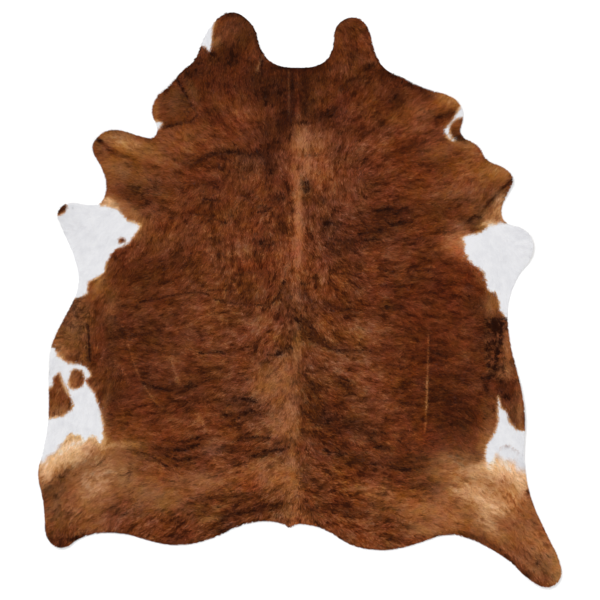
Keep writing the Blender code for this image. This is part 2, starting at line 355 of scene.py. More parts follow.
# the coat's markings, and the painted shade along the hide's edge
markings = dict(
    borderRagged=0.0045,                # how far a white border wanders (m)
    borderHair=0.0018,                  # how far single locks stray over it
    fringe=0.0058,                      # width of the light band beside it
    rimShade=0.0035,                    # width of the painted shade, a darker line along the hide's edge
    # where that line is missing, because the edge catches the light: view x, y, half length, half width,
    # heading
    paleRims=[(514, 372, 62, 12, 82), (58, 330, 26, 12, 60), (150, 98, 14, 10, 60), (430, 92, 44, 10, -22),
              (490, 163, 26, 10, -30), (556, 575, 30, 16, -50), (40, 476, 12, 10, 90), (58, 544, 22, 12, 0),
              (530, 500, 60, 8, -62), (45, 526, 16, 9, 70), (532, 581, 16, 8, -35), (197, 543, 12, 6, 0)],
    # outlines of the white in view pixels: both flanks twice, left ear, left cheek, right shoulder
    white=[
        [(99.5, 202.5), (101.5, 206), (106.5, 206.3), (112, 207.6), (118, 207.6), (122.8, 214.3),
         (127.6, 220), (136, 222), (141, 224.8), (136, 232.5), (133, 235.8), (131, 239), (128.6, 243),
         (122.5, 245.6), (114.5, 248.8), (110, 254.3), (106.6, 262.8), (104.8, 271), (97, 277.4),
         (89.3, 281.2), (87.4, 289),
         (88, 293), (73, 299), (40, 300), (40, 196)],
        [(50, 346.5), (53.5, 348.5), (59.5, 356), (66.6, 361.6), (74, 363.2), (81.7, 364.6), (87.4, 368),
         (90.8, 372.3), (91.2, 376), (87.4, 377.6), (84.5, 380), (89.3, 385.7), (94, 391.4), (97.9, 403),
         (101.7, 414.4), (103.7, 425.8), (103, 437.3), (99.8, 442), (96, 436.4), (89.3, 436.4), (84.5, 440),
         (80.7, 434.5), (72, 433.8), (66, 438), (61, 443), (55, 446.5), (48, 450.5), (42, 456), (25, 459),
         (25, 345)],
        [(507.5, 222), (506, 223.5), (494.7, 224), (489, 225.8), (485, 230.5), (476.5, 233.4), (468, 235.3),
         (461.2, 238.2), (464.5, 244), (464.6, 252.5), (468, 259), (472.5, 263), (478.5, 267.5), (483.8, 273),
         (486.2, 280), (487.3, 288), (491, 291), (496.4, 291.5), (498.6, 298.5), (500.5, 309), (505.2, 317.7),
         (509, 318), (540, 300), (550, 222)],
        [(498.2, 396), (500.5, 406.7), (506.2, 412.4), (510, 422), (515.8, 429.7), (522.5, 430.6), (545, 430),
         (545, 459), (526, 459), (518, 450), (506.2, 444), (496.5, 452), (492.8, 461.5), (487, 463),
         (485.2, 456.5), (485.2, 448.8), (490, 439), (494.7, 431.6), (497.6, 420), (497.6, 405)],
        [(217.3, 15), (215, 22), (213.2, 28), (212, 35), (211.3, 42), (209.3, 50.5), (206.5, 46.5), (200, 44),
         (196, 30), (206, 8)],
        [(148, 121), (157, 121), (163, 123), (160, 127.5), (157, 130), (146, 128)],
        [(460.5, 106.5), (468, 111), (466, 116), (458, 118), (453, 121.3), (449.4, 126), (448.6, 130.5),
         (449.4, 134.4), (451.6, 138.4), (454.6, 140), (452.4, 140.8), (448, 138.6), (444.8, 134.4),
         (444.2, 130.4), (448.2, 125.2), (452, 120.4), (456.5, 112.5)]],
    # soft ends of white, where single pale locks thin out: view x, y, half length, half width, heading
    fades=[(50, 450, 13, 5, 30), (42, 456, 6, 7, 12), (507, 453, 17, 9, -20), (521, 460, 8, 13, 12)],
    # brown spots within the white
    brown=[
        [(119.5, 238.3), (122, 237), (125, 238.3), (126.3, 241), (123.7, 243.2), (120.7, 243)],
        [(55, 215.5), (53, 206), (60, 202), (67, 202.5), (68.8, 207.5), (65.8, 213), (60, 215.8)],
        [(75.5, 367.6), (82.6, 369.8), (86, 378), (83.5, 386), (76, 389), (70.4, 386.6), (68.6, 379.2),
         (70.4, 371)],
        [(60.3, 371.5), (62, 380), (65.4, 388), (71.1, 397.1), (74, 404.8), (71.1, 410.5), (62.5, 415.5),
         (51, 418), (35, 418), (35, 392), (48.5, 389), (53, 385.7), (52.6, 377.1)]],
    # straight-edged pieces let into the belly, with their own darker and curlier coat
    inserts=[
        [(74, 298), (88, 294), (91, 300), (90, 330), (92, 352), (91, 366), (74, 364), (58, 354), (50, 344),
         (40, 347), (40, 298)],
        [(484, 318), (507, 318), (530, 318), (530, 350), (506, 372), (500, 380), (485, 379), (483, 350)]])

# soft patches of tone: view x, y, half length, half width, heading, then how dark, how tan and how light;
# shares that are left out are 0
tones = [
    # broad areas
    (300, 95, 115, 36, 0, 0.05, 0, -0.22), (148, 322, 38, 78, 0, 0.05, 0, -0.32),
    (432, 372, 55, 72, 0, 0.04, 0, -0.28), (430, 305, 45, 24, 0, 0, 0, -0.15),
    (390, 218, 30, 20, 0, 0, 0, -0.15), (316, 155, 15, 38, 0, 0, 0, 0.4),
    (230, 480, 70, 16, 4, 0, 0.08, 0.25), (320, 345, 70, 26, 0, 0, 0, 0.15),
    (245, 250, 40, 26, 0, 0, 0, 0.12), (484, 488, 52, 34, -30, 0, 0.48, 0.25),
    (80, 472, 50, 38, 10, 0, 0.4, 0.2), (420, 515, 40, 14, -8, 0, 0.1, 0.25),
    (250, 125, 60, 16, 0, 0, 0, -0.05), (258, 308, 22, 14, 0, 0, 0, 0.1),
    (280, 388, 12, 30, 0, 0, 0.08, 0.2), (330, 362, 20, 10, 0, 0, 0, 0.2),
    (266, 128, 8, 14, 0, 0.5, 0, -0.2), (270, 165, 8, 16, 0, 0.35, 0, -0.2),
    (250, 192, 12, 6, 0, 0.35, 0, -0.1), (358, 158, 22, 9, 0, 0.05, 0, -0.15),
    (306, 165, 4, 22, 0, 0, 0, 0.3), (385, 226, 30, 16, 0, 0.2, 0, -0.15),
    (440, 165, 14, 8, 0, 0.25, 0, -0.1), (452, 424, 22, 28, 0, 0.22, 0, -0.3),
    (418, 455, 30, 8, 0, 0.15, 0, -0.2), (388, 104, 14, 12, 0, 0.25, 0, -0.1),
    (180, 270, 26, 18, 0, 0.05, 0, -0.15), (165, 488, 40, 12, -8, 0, 0.08, 0.22),
    (112, 305, 7, 20, 0, 0, 0.1, 0.3),
    # beside the white
    (112, 203, 15, 6, -10, 0, 0.45, 0.3), (136, 231, 6, 10, -30, 0, 0.45, 0.4),
    (100, 283, 6, 12, -25, 0, 0.4, 0.35), (60, 350, 10, 12, 0, 0, 0.35, 0.35),
    (56, 412, 12, 8, 0, 0, 0.35, 0.35), (73, 381, 8, 11, 0, 0, 0.3, 0.3),
    (104, 415, 4, 26, -8, 0, 0.2, 0.2), (462, 241, 6, 14, 10, 0, 0.25, 0.35),
    (476, 272, 5, 13, 40, 0, 0.1, 0.3), (508, 342, 4, 28, -5, 0, 0.3, 0.6),
    # (518, 376) paints the right flank's edge paler where it catches the light: a painted highlight
    (518, 376, 3, 20, -5, 0, 0.2, 0.4), (490, 424, 6, 18, 15, 0, 0.25, 0.15),
    (385, 342, 16, 10, 0, 0.12, 0, -0.2), (322, 302, 16, 10, 0, 0.1, 0, -0.1),
    (405, 282, 40, 26, 0, 0.05, 0, -0.14), (458, 440, 26, 22, 0, 0.12, 0, -0.2), (465, 456, 14, 5, 0, 0.3),
    (476, 345, 6, 26, 0, 0.3, 0, -0.1), (78, 325, 12, 22, 0, 0.1, 0.3, 0.1), (490, 375, 7, 10, 0, 0.3),
    (499, 365, 7, 8, 0, 0.35, 0, -0.2), (486, 414, 5, 8, 0, 0.4), (490, 297, 6, 6, 0, 0.3),
    (444, 156, 10, 12, 0, 0.2, 0, -0.1), (502, 195, 4, 8, 0, 0.4), (62, 210, 6, 6, 0, 0.9),
    # (156, 112) paints the cheek's edge paler where it catches the light: a painted highlight
    (156, 112, 5, 14, 0, 0, 0.25, 0.4), (190, 147, 12, 6, 0, 0, 0, 0.35),
    (150, 204, 14, 34, 0, 0, 0.04, 0.3), (247, 225, 12, 36, 0, 0, 0, 0.2),
    (212, 314, 24, 11, 0, 0, 0, 0.32), (175, 355, 36, 16, 0, 0, 0, 0.2), (335, 412, 16, 8, 0, 0, 0, 0.28),
    (335, 453, 24, 5, 0, 0, 0, 0.3), (318, 142, 18, 10, 0, 0, 0.04, 0.35),
    (476, 207, 20, 18, -40, 0, 0.08, 0.35), (470, 155, 12, 6, -20, 0, 0.1, 0.3),
    (484, 440, 6, 12, 0, 0, 0.4, 0.3), (478, 466, 10, 5, 0, 0, 0.2, 0.1),
    # (521, 402) paints the right flank's edge paler where it catches the light: a painted highlight
    (521, 402, 3, 34, -3, 0, 0.2, 0.5), (497, 379, 9, 3, 0, 0.6), (105, 438, 4, 14, 0, 0, 0.4, 0.35),
    (52, 419, 8, 4, 0, 0, 0.4, 0.4), (95, 388, 4, 8, 0, 0, 0.2, 0.3), (60, 357, 8, 6, 0, 0, 0.3, 0.35),
    (150, 507, 52, 8, -3, 0, 0.05, 0.25), (312, 516, 12, 6, 0, 0, 0.08, 0.3),
    # (200, 539) and, on the next line, (557, 574) and (530, 565) paint the lower edges paler where they catch
    # the light: painted highlights; from (296, 67) to (94, 536) the thin dark rows are painted shade along
    # the neck, ears and lower edges
    (405, 505, 40, 8, -5, 0, 0.08, 0.28), (200, 539, 10, 3, 0, 0, 0.1, 0.5),
    (557, 574, 8, 10, 0, 0, 0.2, 0.5), (530, 565, 14, 5, -40, 0, 0.15, 0.45), (296, 67, 38, 4, 0, 1),
    (263, 50, 3, 15, -20, 0.5), (331, 45, 3, 14, 10, 0.4), (388, 74, 20, 3.5, -20, 0.8),
    (237, 14, 24, 3.5, 0, 0.8), (258, 40, 3, 24, 12, 0.8), (150, 544, 34, 3, 5, 0.6),
    (225, 530, 18, 3, 25, 0.5), (455, 537, 22, 3, -4, 0.6), (94, 536, 28, 3, 6, 0.9, -0.1, -0.2),
    # (102.5, 142.5) is painted shade along the foreleg's top edge
    (102.5, 142.5, 7.5, 2.2, -32, 0.9, -0.3, -0.2), (284, 102, 6, 18, 0, 0.4, 0, -0.1),
    (285, 120, 7, 9, 0, 1, 0, -0.1), (304, 92, 5, 26, 0, 0.4, 0, -0.15), (262, 330, 26, 9, 0, 0, 0, 0.28),
    # (559, 575) and, on the next line, (520, 560) paint the foot's edge paler where it catches the light:
    # painted highlights
    (490, 464, 9, 6, 0, 0, 0.9, 0.3), (559, 575, 6, 12, 10, 0, 0.2, 0.8),
    (520, 560, 26, 3, -38, 0, 0.1, 0.6), (450, 497, 22, 6, 0, 0, 0.15, 0.3),
    # (55, 331) paints the belly's left edge paler where it catches the light: a painted highlight
    (55, 331, 5, 14, -30, 0, 0.35, 0.7), (46, 391, 4, 14, 0, 0, 0.3, 0.4),
    (455, 99, 7, 4, -30, 0, 0.3, 0.4), (60, 484, 20, 9, 40, 0.7), (78, 320, 16, 12, 0, 0.35),
    (145, 496, 12, 8, 0, 0.25), (458, 459, 26, 3.5, 0, 0.45), (526, 524, 10, 10, 0, 0.35),
    (538, 566, 16, 10, -40, 0.35), (486, 419, 5, 6, 0, 0.4), (135, 149, 26, 6, -12, 0, 0.05, 0.1),
    (112, 190, 6, 8, 0, 0, 0.1, 0.3), (150, 268, 50, 14, 0, 0, 0, 0.1), (489, 218, 7, 12, 30, 0, 0.35, 0.3),
    (460, 247, 8, 14, 10, 0, 0.2, 0.3), (474, 471, 24, 6, 0, 0, 0.35, 0.2),
    (510, 503, 7, 14, 20, 0, 0.25, 0.25), (432, 472, 12, 5, 0, 0, 0.25, 0.1),
    (213, 466, 15, 9, 0, 0, 0, 0.25), (470, 352, 10, 8, 0, 0, 0, 0.2), (460, 126, 5, 6, 0, 0, 0.3, 0.4),
    (474, 303, 9, 9, 0, 0.3, 0, -0.05), (128, 443, 12, 3, 0, 0, 0.12, 0.05),
    (462, 262, 10, 8, 0, 0, 0, 0.2), (85, 462, 14, 10, 0, 0.2), (468, 460, 14, 6, 0, 0.35),
    (482, 505, 12, 8, -30, 0, 0.3, 0.2), (523, 482, 6, 16, 12, 0, 0.3, 0.2),
    (498, 500, 22, 10, -35, 0, 0.14, 0.1), (246, 32, 9, 12, 0, 0.35, 0, -0.35), (212, 53, 4, 4, 0, 0.9),
    # (459, 138.5) is painted shade along the edge below the right cheek's brown spot
    (459, 138.5, 9, 4, -28, 1, -0.2, -0.2), (64, 449, 14, 5, 20, 0, 0.45, 0.2),
    (46, 468, 8, 12, 0, 0, 0.3, 0.1), (59, 446, 5, 1.5, 35, 0.5, -0.3), (302, 473, 9, 14, 0, 0.1, 0, -0.55),
    (80, 476, 26, 18, 20, 0, -0.12, -0.2), (334, 360, 14, 12, 0, 0, 0, -0.15),
    (375, 350, 30, 10, 0, 0, 0, -0.15), (462, 457, 20, 8, 0, 0.1, 0, -0.25),
    (158, 126, 8, 8, 0, 0, 0.1, 0.3), (115, 148, 26, 8, -15, 0, 0.1, 0.1),
    (507, 176, 8, 6, -20, 0, 0.1, 0.3),
    # left ear and cheek
    (218, 80, 28, 18, 0, 0.22, 0, -0.1), (214, 118, 12, 10, 0, 0.3, 0, -0.2),
    (236, 28, 22, 17, 0, 0.1, 0.06, -0.05), (233, 48, 14, 9, 0, 0.7), (217, 42, 6, 4, 60, 0, 0.35, 0.3),
    (243, 30, 9, 6, 0, 0, 0.05), (235, 22, 10, 3, 5, 0.4), (259, 62, 3, 9, -20, 0, 0, 0.4),
    (193, 69, 17, 9, 55, 0.75), (191, 87, 4, 12, 25, 0.45, 0.25), (226, 58, 18, 10, 0, 0.75),
    (262, 80, 22, 12, 0, 0.7), (270, 97, 20, 10, 0, 0.65), (231, 103, 18, 10, -30, 0, 0, 0.32),
    (250, 119, 18, 9, -20, 0, 0, 0.2), (221, 124, 16, 9, -20, 0, 0, 0.3), (284, 116, 5, 6, 0, 1),
    (171, 103, 15, 13, 0, 0.4, 0.2), (168, 91, 5, 2.5, 60, 0.7, -0.2), (166, 124, 9, 4, 0, 0.5),
    (196, 112, 3, 5, -40, 0, 0, 0.6), (180, 136, 20, 10, 10, 0, 0.15, 0.3),
    # left foreleg and shoulder
    (122, 141, 24, 9, -12, 0, 0.52), (146, 153, 20, 8, -16, 0, 0.25, 0.2),
    (170, 156, 20, 9, -12, 0, 0.05, 0.25), (113, 151.5, 8, 1.9, -28, 0.85, -0.1),
    (126, 156.4, 7, 1.7, -4, 0.75), (112, 165, 14, 10, 0, 0.2, 0.35, 0.3),
    (129, 176, 22, 12, 0, 0.3, 0.2, 0.35), (137, 192, 18, 10, -8, 0.65, 0.05), (146, 203, 12, 5, 20, 0.75),
    (158, 185, 12, 7, -20, 0.4), (131, 214, 12, 7, -45, 0, 0.45, 0.3),
    (122.5, 240, 4, 3, 0, 0.2, -0.6, -0.3), (109, 202, 8, 5, 0, 0, 0.8, 0.1), (198, 163, 8, 3, 35, 0.75),
    (213, 154, 12, 3, 15, 0.75), (236, 151, 14, 3, -3, 0.75), (260, 152, 14, 5, 10, 0.9),
    (272, 144, 11, 6, 20, 0.9), (269, 165, 6, 9, 0, 0.8), (281, 127, 6, 9, 0, 0.8),
    (248, 168, 8, 6, 0, 0.5), (283, 182, 4, 8, 0, 0.55), (277, 197, 7, 6, 0, 0.75),
    (261, 207, 10, 6, 0, 0.4), (263, 241, 14, 7, -10, 0.5), (240, 216, 12, 8, 0, 0.3),
    (215, 205, 20, 12, 0, 0.2), (287, 226, 5, 10, 0, -0.4, 0, 0.15),
    # mane, withers and spine
    (293, 92, 3.5, 24, 0, 0.65), (306, 80, 6, 13, 0, 0.75), (305, 107, 4, 12, 0, 0.7),
    (302, 122, 9, 2.5, 0, 1), (320, 75, 9, 7, 0, 0.55), (298, 138, 5, 14, 0, 0, 0.15, 0.65),
    (305, 136, 5, 13, 0, 0, 0.25, 0.5), (307, 165, 6, 9, 0, 0, 0.15, 0.4),
    (296, 165, 5, 18, 0, 0, 0.05, 0.4), (298, 212, 4.5, 30, 0, 0, 0.1, 1.3),
    (297, 266, 5, 34, 0, 0, 0.05, 0.55), (307, 185, 5, 8, 0, 0.8), (320, 197, 8, 5, -40, 0.55),
    (312, 154, 20, 1.2, 0, 0.45), (302, 287, 5, 10, 0, 0.6), (288, 290, 4, 14, 0, 0.3, 0, 0.1),
    (297, 350, 4, 22, 0, 0, 0.2, 0.45), (291, 410, 7, 30, 0, 0, 0.2, 0.65),
    (293, 460, 5, 24, 0, 0, 0.1, 0.25), (294, 500, 8, 28, 0, 0, 0.1, 0.6),
    # neck and shoulder on the right
    (351, 44, 16, 26, 0, 0.05, 0, -0.12), (353, 27, 12, 2.5, 25, 0.4), (353, 52, 10, 7, 0, 0.35),
    (340, 70, 11, 6, 0, 0, 0, 0.35), (367, 67, 8, 4, 20, 0.85), (353, 79, 12, 3.5, 20, 0.65),
    (345, 88, 7, 5, 0, 0.6), (330, 114, 12, 7, 25, 0.7), (317, 115, 8, 6, 0, 0.6),
    (342, 132, 5, 2, 10, 0.6), (353, 131, 8, 5, 0, 0.3), (409, 147, 9, 3, 35, 0.75),
    (398, 153, 11, 1.6, 0, 0.7), (397, 100, 7, 9, 0, 0.6), (393, 84, 13, 5, -25, 0.45),
    (414, 88, 16, 3, -22, 0.95), (439, 117, 12, 4.5, 20, 0.8), (451, 114, 6, 4, 50, 0.85),
    (448, 101, 14, 7, -28, 0, 0.6, 0.3), (424, 110, 18, 7, 0, 0, 0.25, 0.15), (370, 104, 22, 12, 0, 0),
    (414, 125, 20, 9, 0, 0, 0.1, 0.35), (370, 144, 26, 9, 0, 0, 0, 0.4), (438, 150, 16, 10, 0, 0, 0.3),
    (462, 142, 14, 6, -25, 0, 0.55), (470, 157, 7, 1.5, 0, 0.5), (466, 174, 24, 14, 0, 0, 0.1, 0.35),
    (450, 175, 10, 8, 0, 0, 0, -0.35), (497, 173, 16, 9, -10, 0.05, 0.45, 0.2), (494, 187, 19, 3, 40, 0.15),
    (486, 207, 12, 5, 48, 0.45), (472, 219, 10, 4, 30, 0.75), (478, 210, 9, 4, 45, 0.5),
    (499, 202, 7, 13, -10, 0, 0.8, 0.1), (488, 224, 10, 3.5, 15, 0, 0.85, 0.1),
    (503, 217, 5, 6, 0, 0, 0.85, 0.1), (455, 192, 20, 6, 5, 0.2, 0.1, 0.3), (443, 208, 14, 7, 0, 0.4),
    (372, 178, 14, 6, 0, 0.35),
    # right flank
    (393, 212, 18, 6, 5, 0.75), (405, 222, 11, 3, 8, 0.6), (374, 231, 14, 5, 8, 0.7),
    (347, 243, 17, 6, 8, 0.65), (326, 224, 5, 8, 0, 0.8), (331, 254, 11, 5, 0, 0.45),
    (424, 203, 12, 7, 0, 0.25), (443, 232, 5, 3, 0, 0.4), (455, 242, 15, 12, 0, 0, 0.15, 0.85),
    (462, 266, 22, 8, -20, 0.25), (370, 250, 18, 6, 0, 0, 0, 0.25), (492, 302, 8, 12, 0, 0, 0.25, 0.3),
    (349, 309, 12, 6, 0, 0.4), (391, 307, 12, 2.5, 0, 0.45), (328, 308, 10, 6, 0, 0.45),
    (299, 320, 11, 3, -25, 1), (309, 334, 10, 6, -30, 0.95), (318, 339, 8, 5, -20, 0.6),
    (334, 346, 20, 4, -20, 0.5), (343, 384, 12, 5, -10, 0.5), (313, 390, 10, 6, -20, 0.7),
    (324, 408, 20, 8, -15, 0.65), (338, 422, 30, 9, -12, 0.6), (416, 357, 12, 3, 0, 0.4),
    (398, 335, 20, 3, 0, 0.35), (445, 353, 20, 4, -5, 0.45), (453, 376, 22, 4, -4, 0.45),
    (455, 396, 24, 5, -4, 0.5), (405, 403, 10, 3, 0, 0.55), (458, 409, 14, 4, 0, 0.45),
    (455, 423, 14, 5, 0, 0.35), (374, 433, 12, 3, -10, 0.7), (379, 445, 14, 3.5, -20, 0.75),
    (405, 462, 20, 4, -10, 0.7), (412, 470, 22, 4, -5, 0.8), (421, 485, 14, 2.5, 12, 0.8),
    (397, 481, 14, 3, -15, 0.65), (347, 455, 32, 9, -15, 0.55), (382, 506, 18, 4, -10, 0.6),
    (345, 510, 26, 5, -12, 0.45), (313, 511, 14, 6, 0, 0.4), (385, 518, 14, 4, 0, 0.35),
    (370, 334, 26, 12, 0, 0, 0, 0.3), (382, 405, 16, 8, 0, 0, 0, 0.35), (370, 379, 16, 8, 0, 0, 0, 0.3),
    (380, 492, 24, 7, -10, 0, 0.1, 0.5), (453, 458, 18, 6, 0, 0, 0.4, 0.2), (437, 488, 8, 4, 0, 0.35),
    # right hind leg and belly
    (505, 474, 24, 16, -20, 0, 0.34, 0.05), (524, 498, 10, 16, 15, 0, 0.2, 0.1),
    (548, 562, 18, 20, 0, 0, 0.05, 0.2), (522, 526, 16, 16, 0, 0, 0.1, 0.1),
    (426, 511, 26, 10, 0, 0, 0.12, 0.35), (470, 480, 8, 4, 20, 0.3), (474, 490, 26, 10, -30, 0, 0.27),
    (458, 491, 14, 7, 0, 0, 0.4, 0.2), (493, 507, 12, 8, -30, 0, 0.5, 0.2),
    (453, 520, 20, 12, 0, 0, 0.3, 0.25), (424, 530, 14, 6, 0, 0, 0.45), (491, 529, 18, 8, -40, 0, 0.55),
    (506, 462, 15, 9, -30, 0, 1.1, 0.2), (521, 478, 9, 16, 15, 0, 0.6, 0.1),
    (500, 471, 16, 9, 0, 0, 0.35, 0.1), (520, 512, 7, 8, 0, 0.4), (527.5, 491, 2.5, 3.5, 0, 1, -0.9, -0.4),
    (463, 479, 5, 2, 15, 0.6), (540, 548, 34, 16, -55, 0.05, 0.28, 0.75),
    (540, 564, 16, 12, -40, 0.1, -0.08, -0.3), (556, 574, 6, 8, 0, 0.35, 0, -0.2),
    (522, 532, 10, 16, 0, 0.15), (515, 557, 14, 4, -40, 0.4), (488, 345, 5, 24, 0, 0.7),
    (494, 324, 11, 7, 0, 0.9), (497, 345, 4, 26, 0, 0.55), (503, 385, 6, 6, 0, 1), (516, 382, 7, 5, 0, 1),
    (507, 395, 8, 5, 0, 1), (516, 396, 5, 4, 0, 0.5), (508, 372, 8, 7, 0, 0.1, 0.25, 0.1),
    (516, 412, 6, 14, 0, 0.3, 0.1), (508, 417, 4, 4, 0, 0.7), (485, 384, 4, 7, 0, 0.6),
    (476, 300, 10, 16, 0, 0.25),
    # left flank
    (152, 298, 12, 3, 0, 0.3), (240, 299, 25, 3, 0, 0.3), (168, 336, 20, 3, 0, 0.35),
    (152, 350, 7, 3, 0, 0.35), (221, 351, 30, 3, 0, 0.3), (284, 350, 9, 4, 15, 0.5),
    (267, 361, 9, 3, 15, 0.45), (164, 388, 18, 3.5, 0, 0.45), (202, 382, 28, 3.5, 10, 0.4),
    (113, 400, 11, 26, 0, 0.35), (110, 345, 8, 30, 0, 0.35), (202, 303, 40, 12, 0, 0, 0, 0.2),
    (284, 367, 8, 14, 0, 0, 0.1, 0.35), (268, 383, 18, 14, 0, 0, 0.25, 0.2),
    (278, 425, 10, 14, 0, 0, 0.15, 0.35), (245, 401, 14, 4, 0, 0.7), (252, 412, 18, 5, 0, 0.6),
    (231, 416, 12, 4, 0, 0.5), (227, 403, 8, 4, 0, 0.4), (201, 416, 5, 12, 0, 0, 0, 0.3),
    (140, 272, 34, 9, 0, 0.25), (155, 240, 28, 11, 0, 0, 0, 0.25), (187, 447, 22, 3.4, 4, 0.8),
    (198, 439, 12, 3, 0, 0.6), (164, 452, 11, 2.6, -12, 0.65), (172, 462, 10, 2, -32, 0.7),
    (189, 459, 11, 2.6, 14, 0.7), (214, 447, 12, 8, 0, 0.1, 0.1, 0.35), (229, 449, 18, 3, 5, 0.5),
    (250, 440, 16, 3, 0, 0.45), (260, 453, 18, 5, 10, 0.55), (288, 445, 6, 3, 30, 0.45),
    (120, 445, 22, 4, 0, 0, 0.45, 0.1), (262, 463, 30, 8, 0, 0, 0, 0.3), (279, 474, 18, 13, 0, 0, 0.1, 0.4),
    # rump and left hind leg
    (66, 450, 26, 11, 25, 0, 0.7, 0.25), (46, 474, 9, 16, 10, 0, 0.2, 0.2),
    (90, 510, 22, 10, 0, 0, 0.1, 0.28), (50, 521, 8, 12, 0, 0, 0.1, 0.28),
    (282, 482, 12, 10, 0, 0, 0.08, 0.3), (205, 427, 16, 8, 0, 0, 0, 0.22),
    # (230, 529) and (84, 536) are painted shade along the lower edge
    (185, 456, 20, 5, 0, 0.25, 0, -0.1), (230, 529, 12, 4, 10, 0.35, 0, -0.1), (84, 536, 16, 4, 0, 0.35),
    (219, 497, 22, 3.5, 6, 0.65), (251, 495, 16, 3, 0, 0.5), (241, 512, 20, 3.6, 10, 0.9),
    (221, 523, 12, 3, 30, 0.75), (277, 506, 12, 4, 8, 0.6), (202, 512, 14, 4, 20, 0.5),
    (210, 519, 9, 3, 10, 0, 0.35), (202, 481, 20, 8, 0, 0, 0.3, 0.1), (110, 472, 30, 16, 5, 0.08, 0.35),
    (157, 497, 24, 12, -12, 0.15, 0.35), (92, 490, 16, 13, 0, 0, 0.35), (74, 455, 26, 10, 20, 0, 0.55, 0.3),
    (48, 468, 9, 15, 0, 0, 0.52), (80, 440, 20, 6, 0, 0, 0.85, 0.2), (63, 476, 15, 3.6, 45, 0.9),
    (49, 493, 7, 8, 0, 0.9), (118, 476, 18, 6, 0, 0.2), (137, 470, 12, 3, -15, 0.45),
    (143, 511, 15, 6, 0, 0.35), (113, 510, 16, 7, 0, 0.3), (59, 532, 15, 13, 0, 0.3),
    (56, 508, 10, 10, 0, 0.3, 0.1), (97, 525, 18, 8, 0, 0, 0.1, 0.2)]

# slow shifts of hue: view x, y, half length, half width, heading, then how golden (below 0 redder) and how
# greyish (below 0 more saturated)
hues = [
    (150, 510, 90, 22, 0, 0.05, 0.1), (240, 515, 50, 20, 0, 0.2, 0), (285, 500, 15, 15, 0, 0.3, 0.5),
    (214, 451, 12, 9, 0, 0.4, 1.3), (425, 340, 45, 90, 0, -0.3, 0), (440, 442, 35, 15, 0, -0.6, 0),
    (455, 270, 20, 30, 0, -0.4, 0), (430, 130, 30, 30, 0, -0.5, 0), (430, 168, 50, 20, 0, -0.4, -0.3),
    (440, 105, 15, 8, 0, -0.7, -0.3), (200, 130, 50, 18, 0, -0.3, 0), (245, 160, 40, 12, 0, 0.5, 0.1),
    (305, 185, 8, 14, 0, 0.8, 0.3), (330, 225, 12, 20, 0, 0.6, 0.2), (310, 110, 12, 22, 0, 0.5, 0.2),
    (300, 325, 55, 38, 0, 0.3, 0.1), (210, 330, 90, 90, 0, 0.18, 0), (297, 235, 8, 25, 0, -0.6, 0),
    (265, 265, 30, 6, 0, -0.5, 0), (250, 480, 30, 10, 0, -0.5, 0), (545, 565, 15, 25, 35, 0.5, 0.2),
    (515, 500, 9, 26, 25, -0.8, -0.2), (470, 222, 12, 6, 0, 0.7, 0), (133, 238, 6, 9, 0, -0.9, 0),
    (458, 245, 8, 10, 0, -0.9, 0), (475, 268, 10, 10, 0, -0.8, 0), (115, 468, 26, 12, 0, 0.2, 0.3),
    (155, 430, 40, 22, 0, -0.25, -0.4), (300, 150, 80, 60, 0, 0.1, 0.45), (260, 155, 34, 12, 0, 0, 0.4),
    (340, 228, 60, 26, 0, 0.2, 0.35), (130, 155, 26, 14, 0, 0, -0.8), (172, 166, 18, 14, 0, 0, -0.4),
    (476, 168, 26, 14, 0, 0, -0.8), (410, 370, 22, 55, 0, -0.2, -0.3), (152, 470, 18, 14, 0, -0.2, -0.4),
    (275, 455, 18, 30, 0, 0.3, 0.4), (400, 520, 90, 24, 0, 0, -0.2), (470, 500, 40, 30, 0, -0.3, 0.2),
    (335, 488, 48, 24, 0, 0, -0.3), (410, 480, 22, 12, 0, 0, -0.4), (485, 370, 15, 32, 0, 0.1, 0.3),
    (500, 397, 8, 8, 0, 0.2, 0.5), (130, 520, 16, 10, 0, 0.3, 0.4), (75, 325, 14, 24, 0, 0.1, 0.1),
    (290, 300, 14, 30, 0, 0.1, 0.3), (360, 380, 50, 60, 0, 0.25, 0.1), (250, 400, 30, 30, 0, 0.3, 0.2),
    (160, 330, 40, 60, 0, 0, 0.15)]

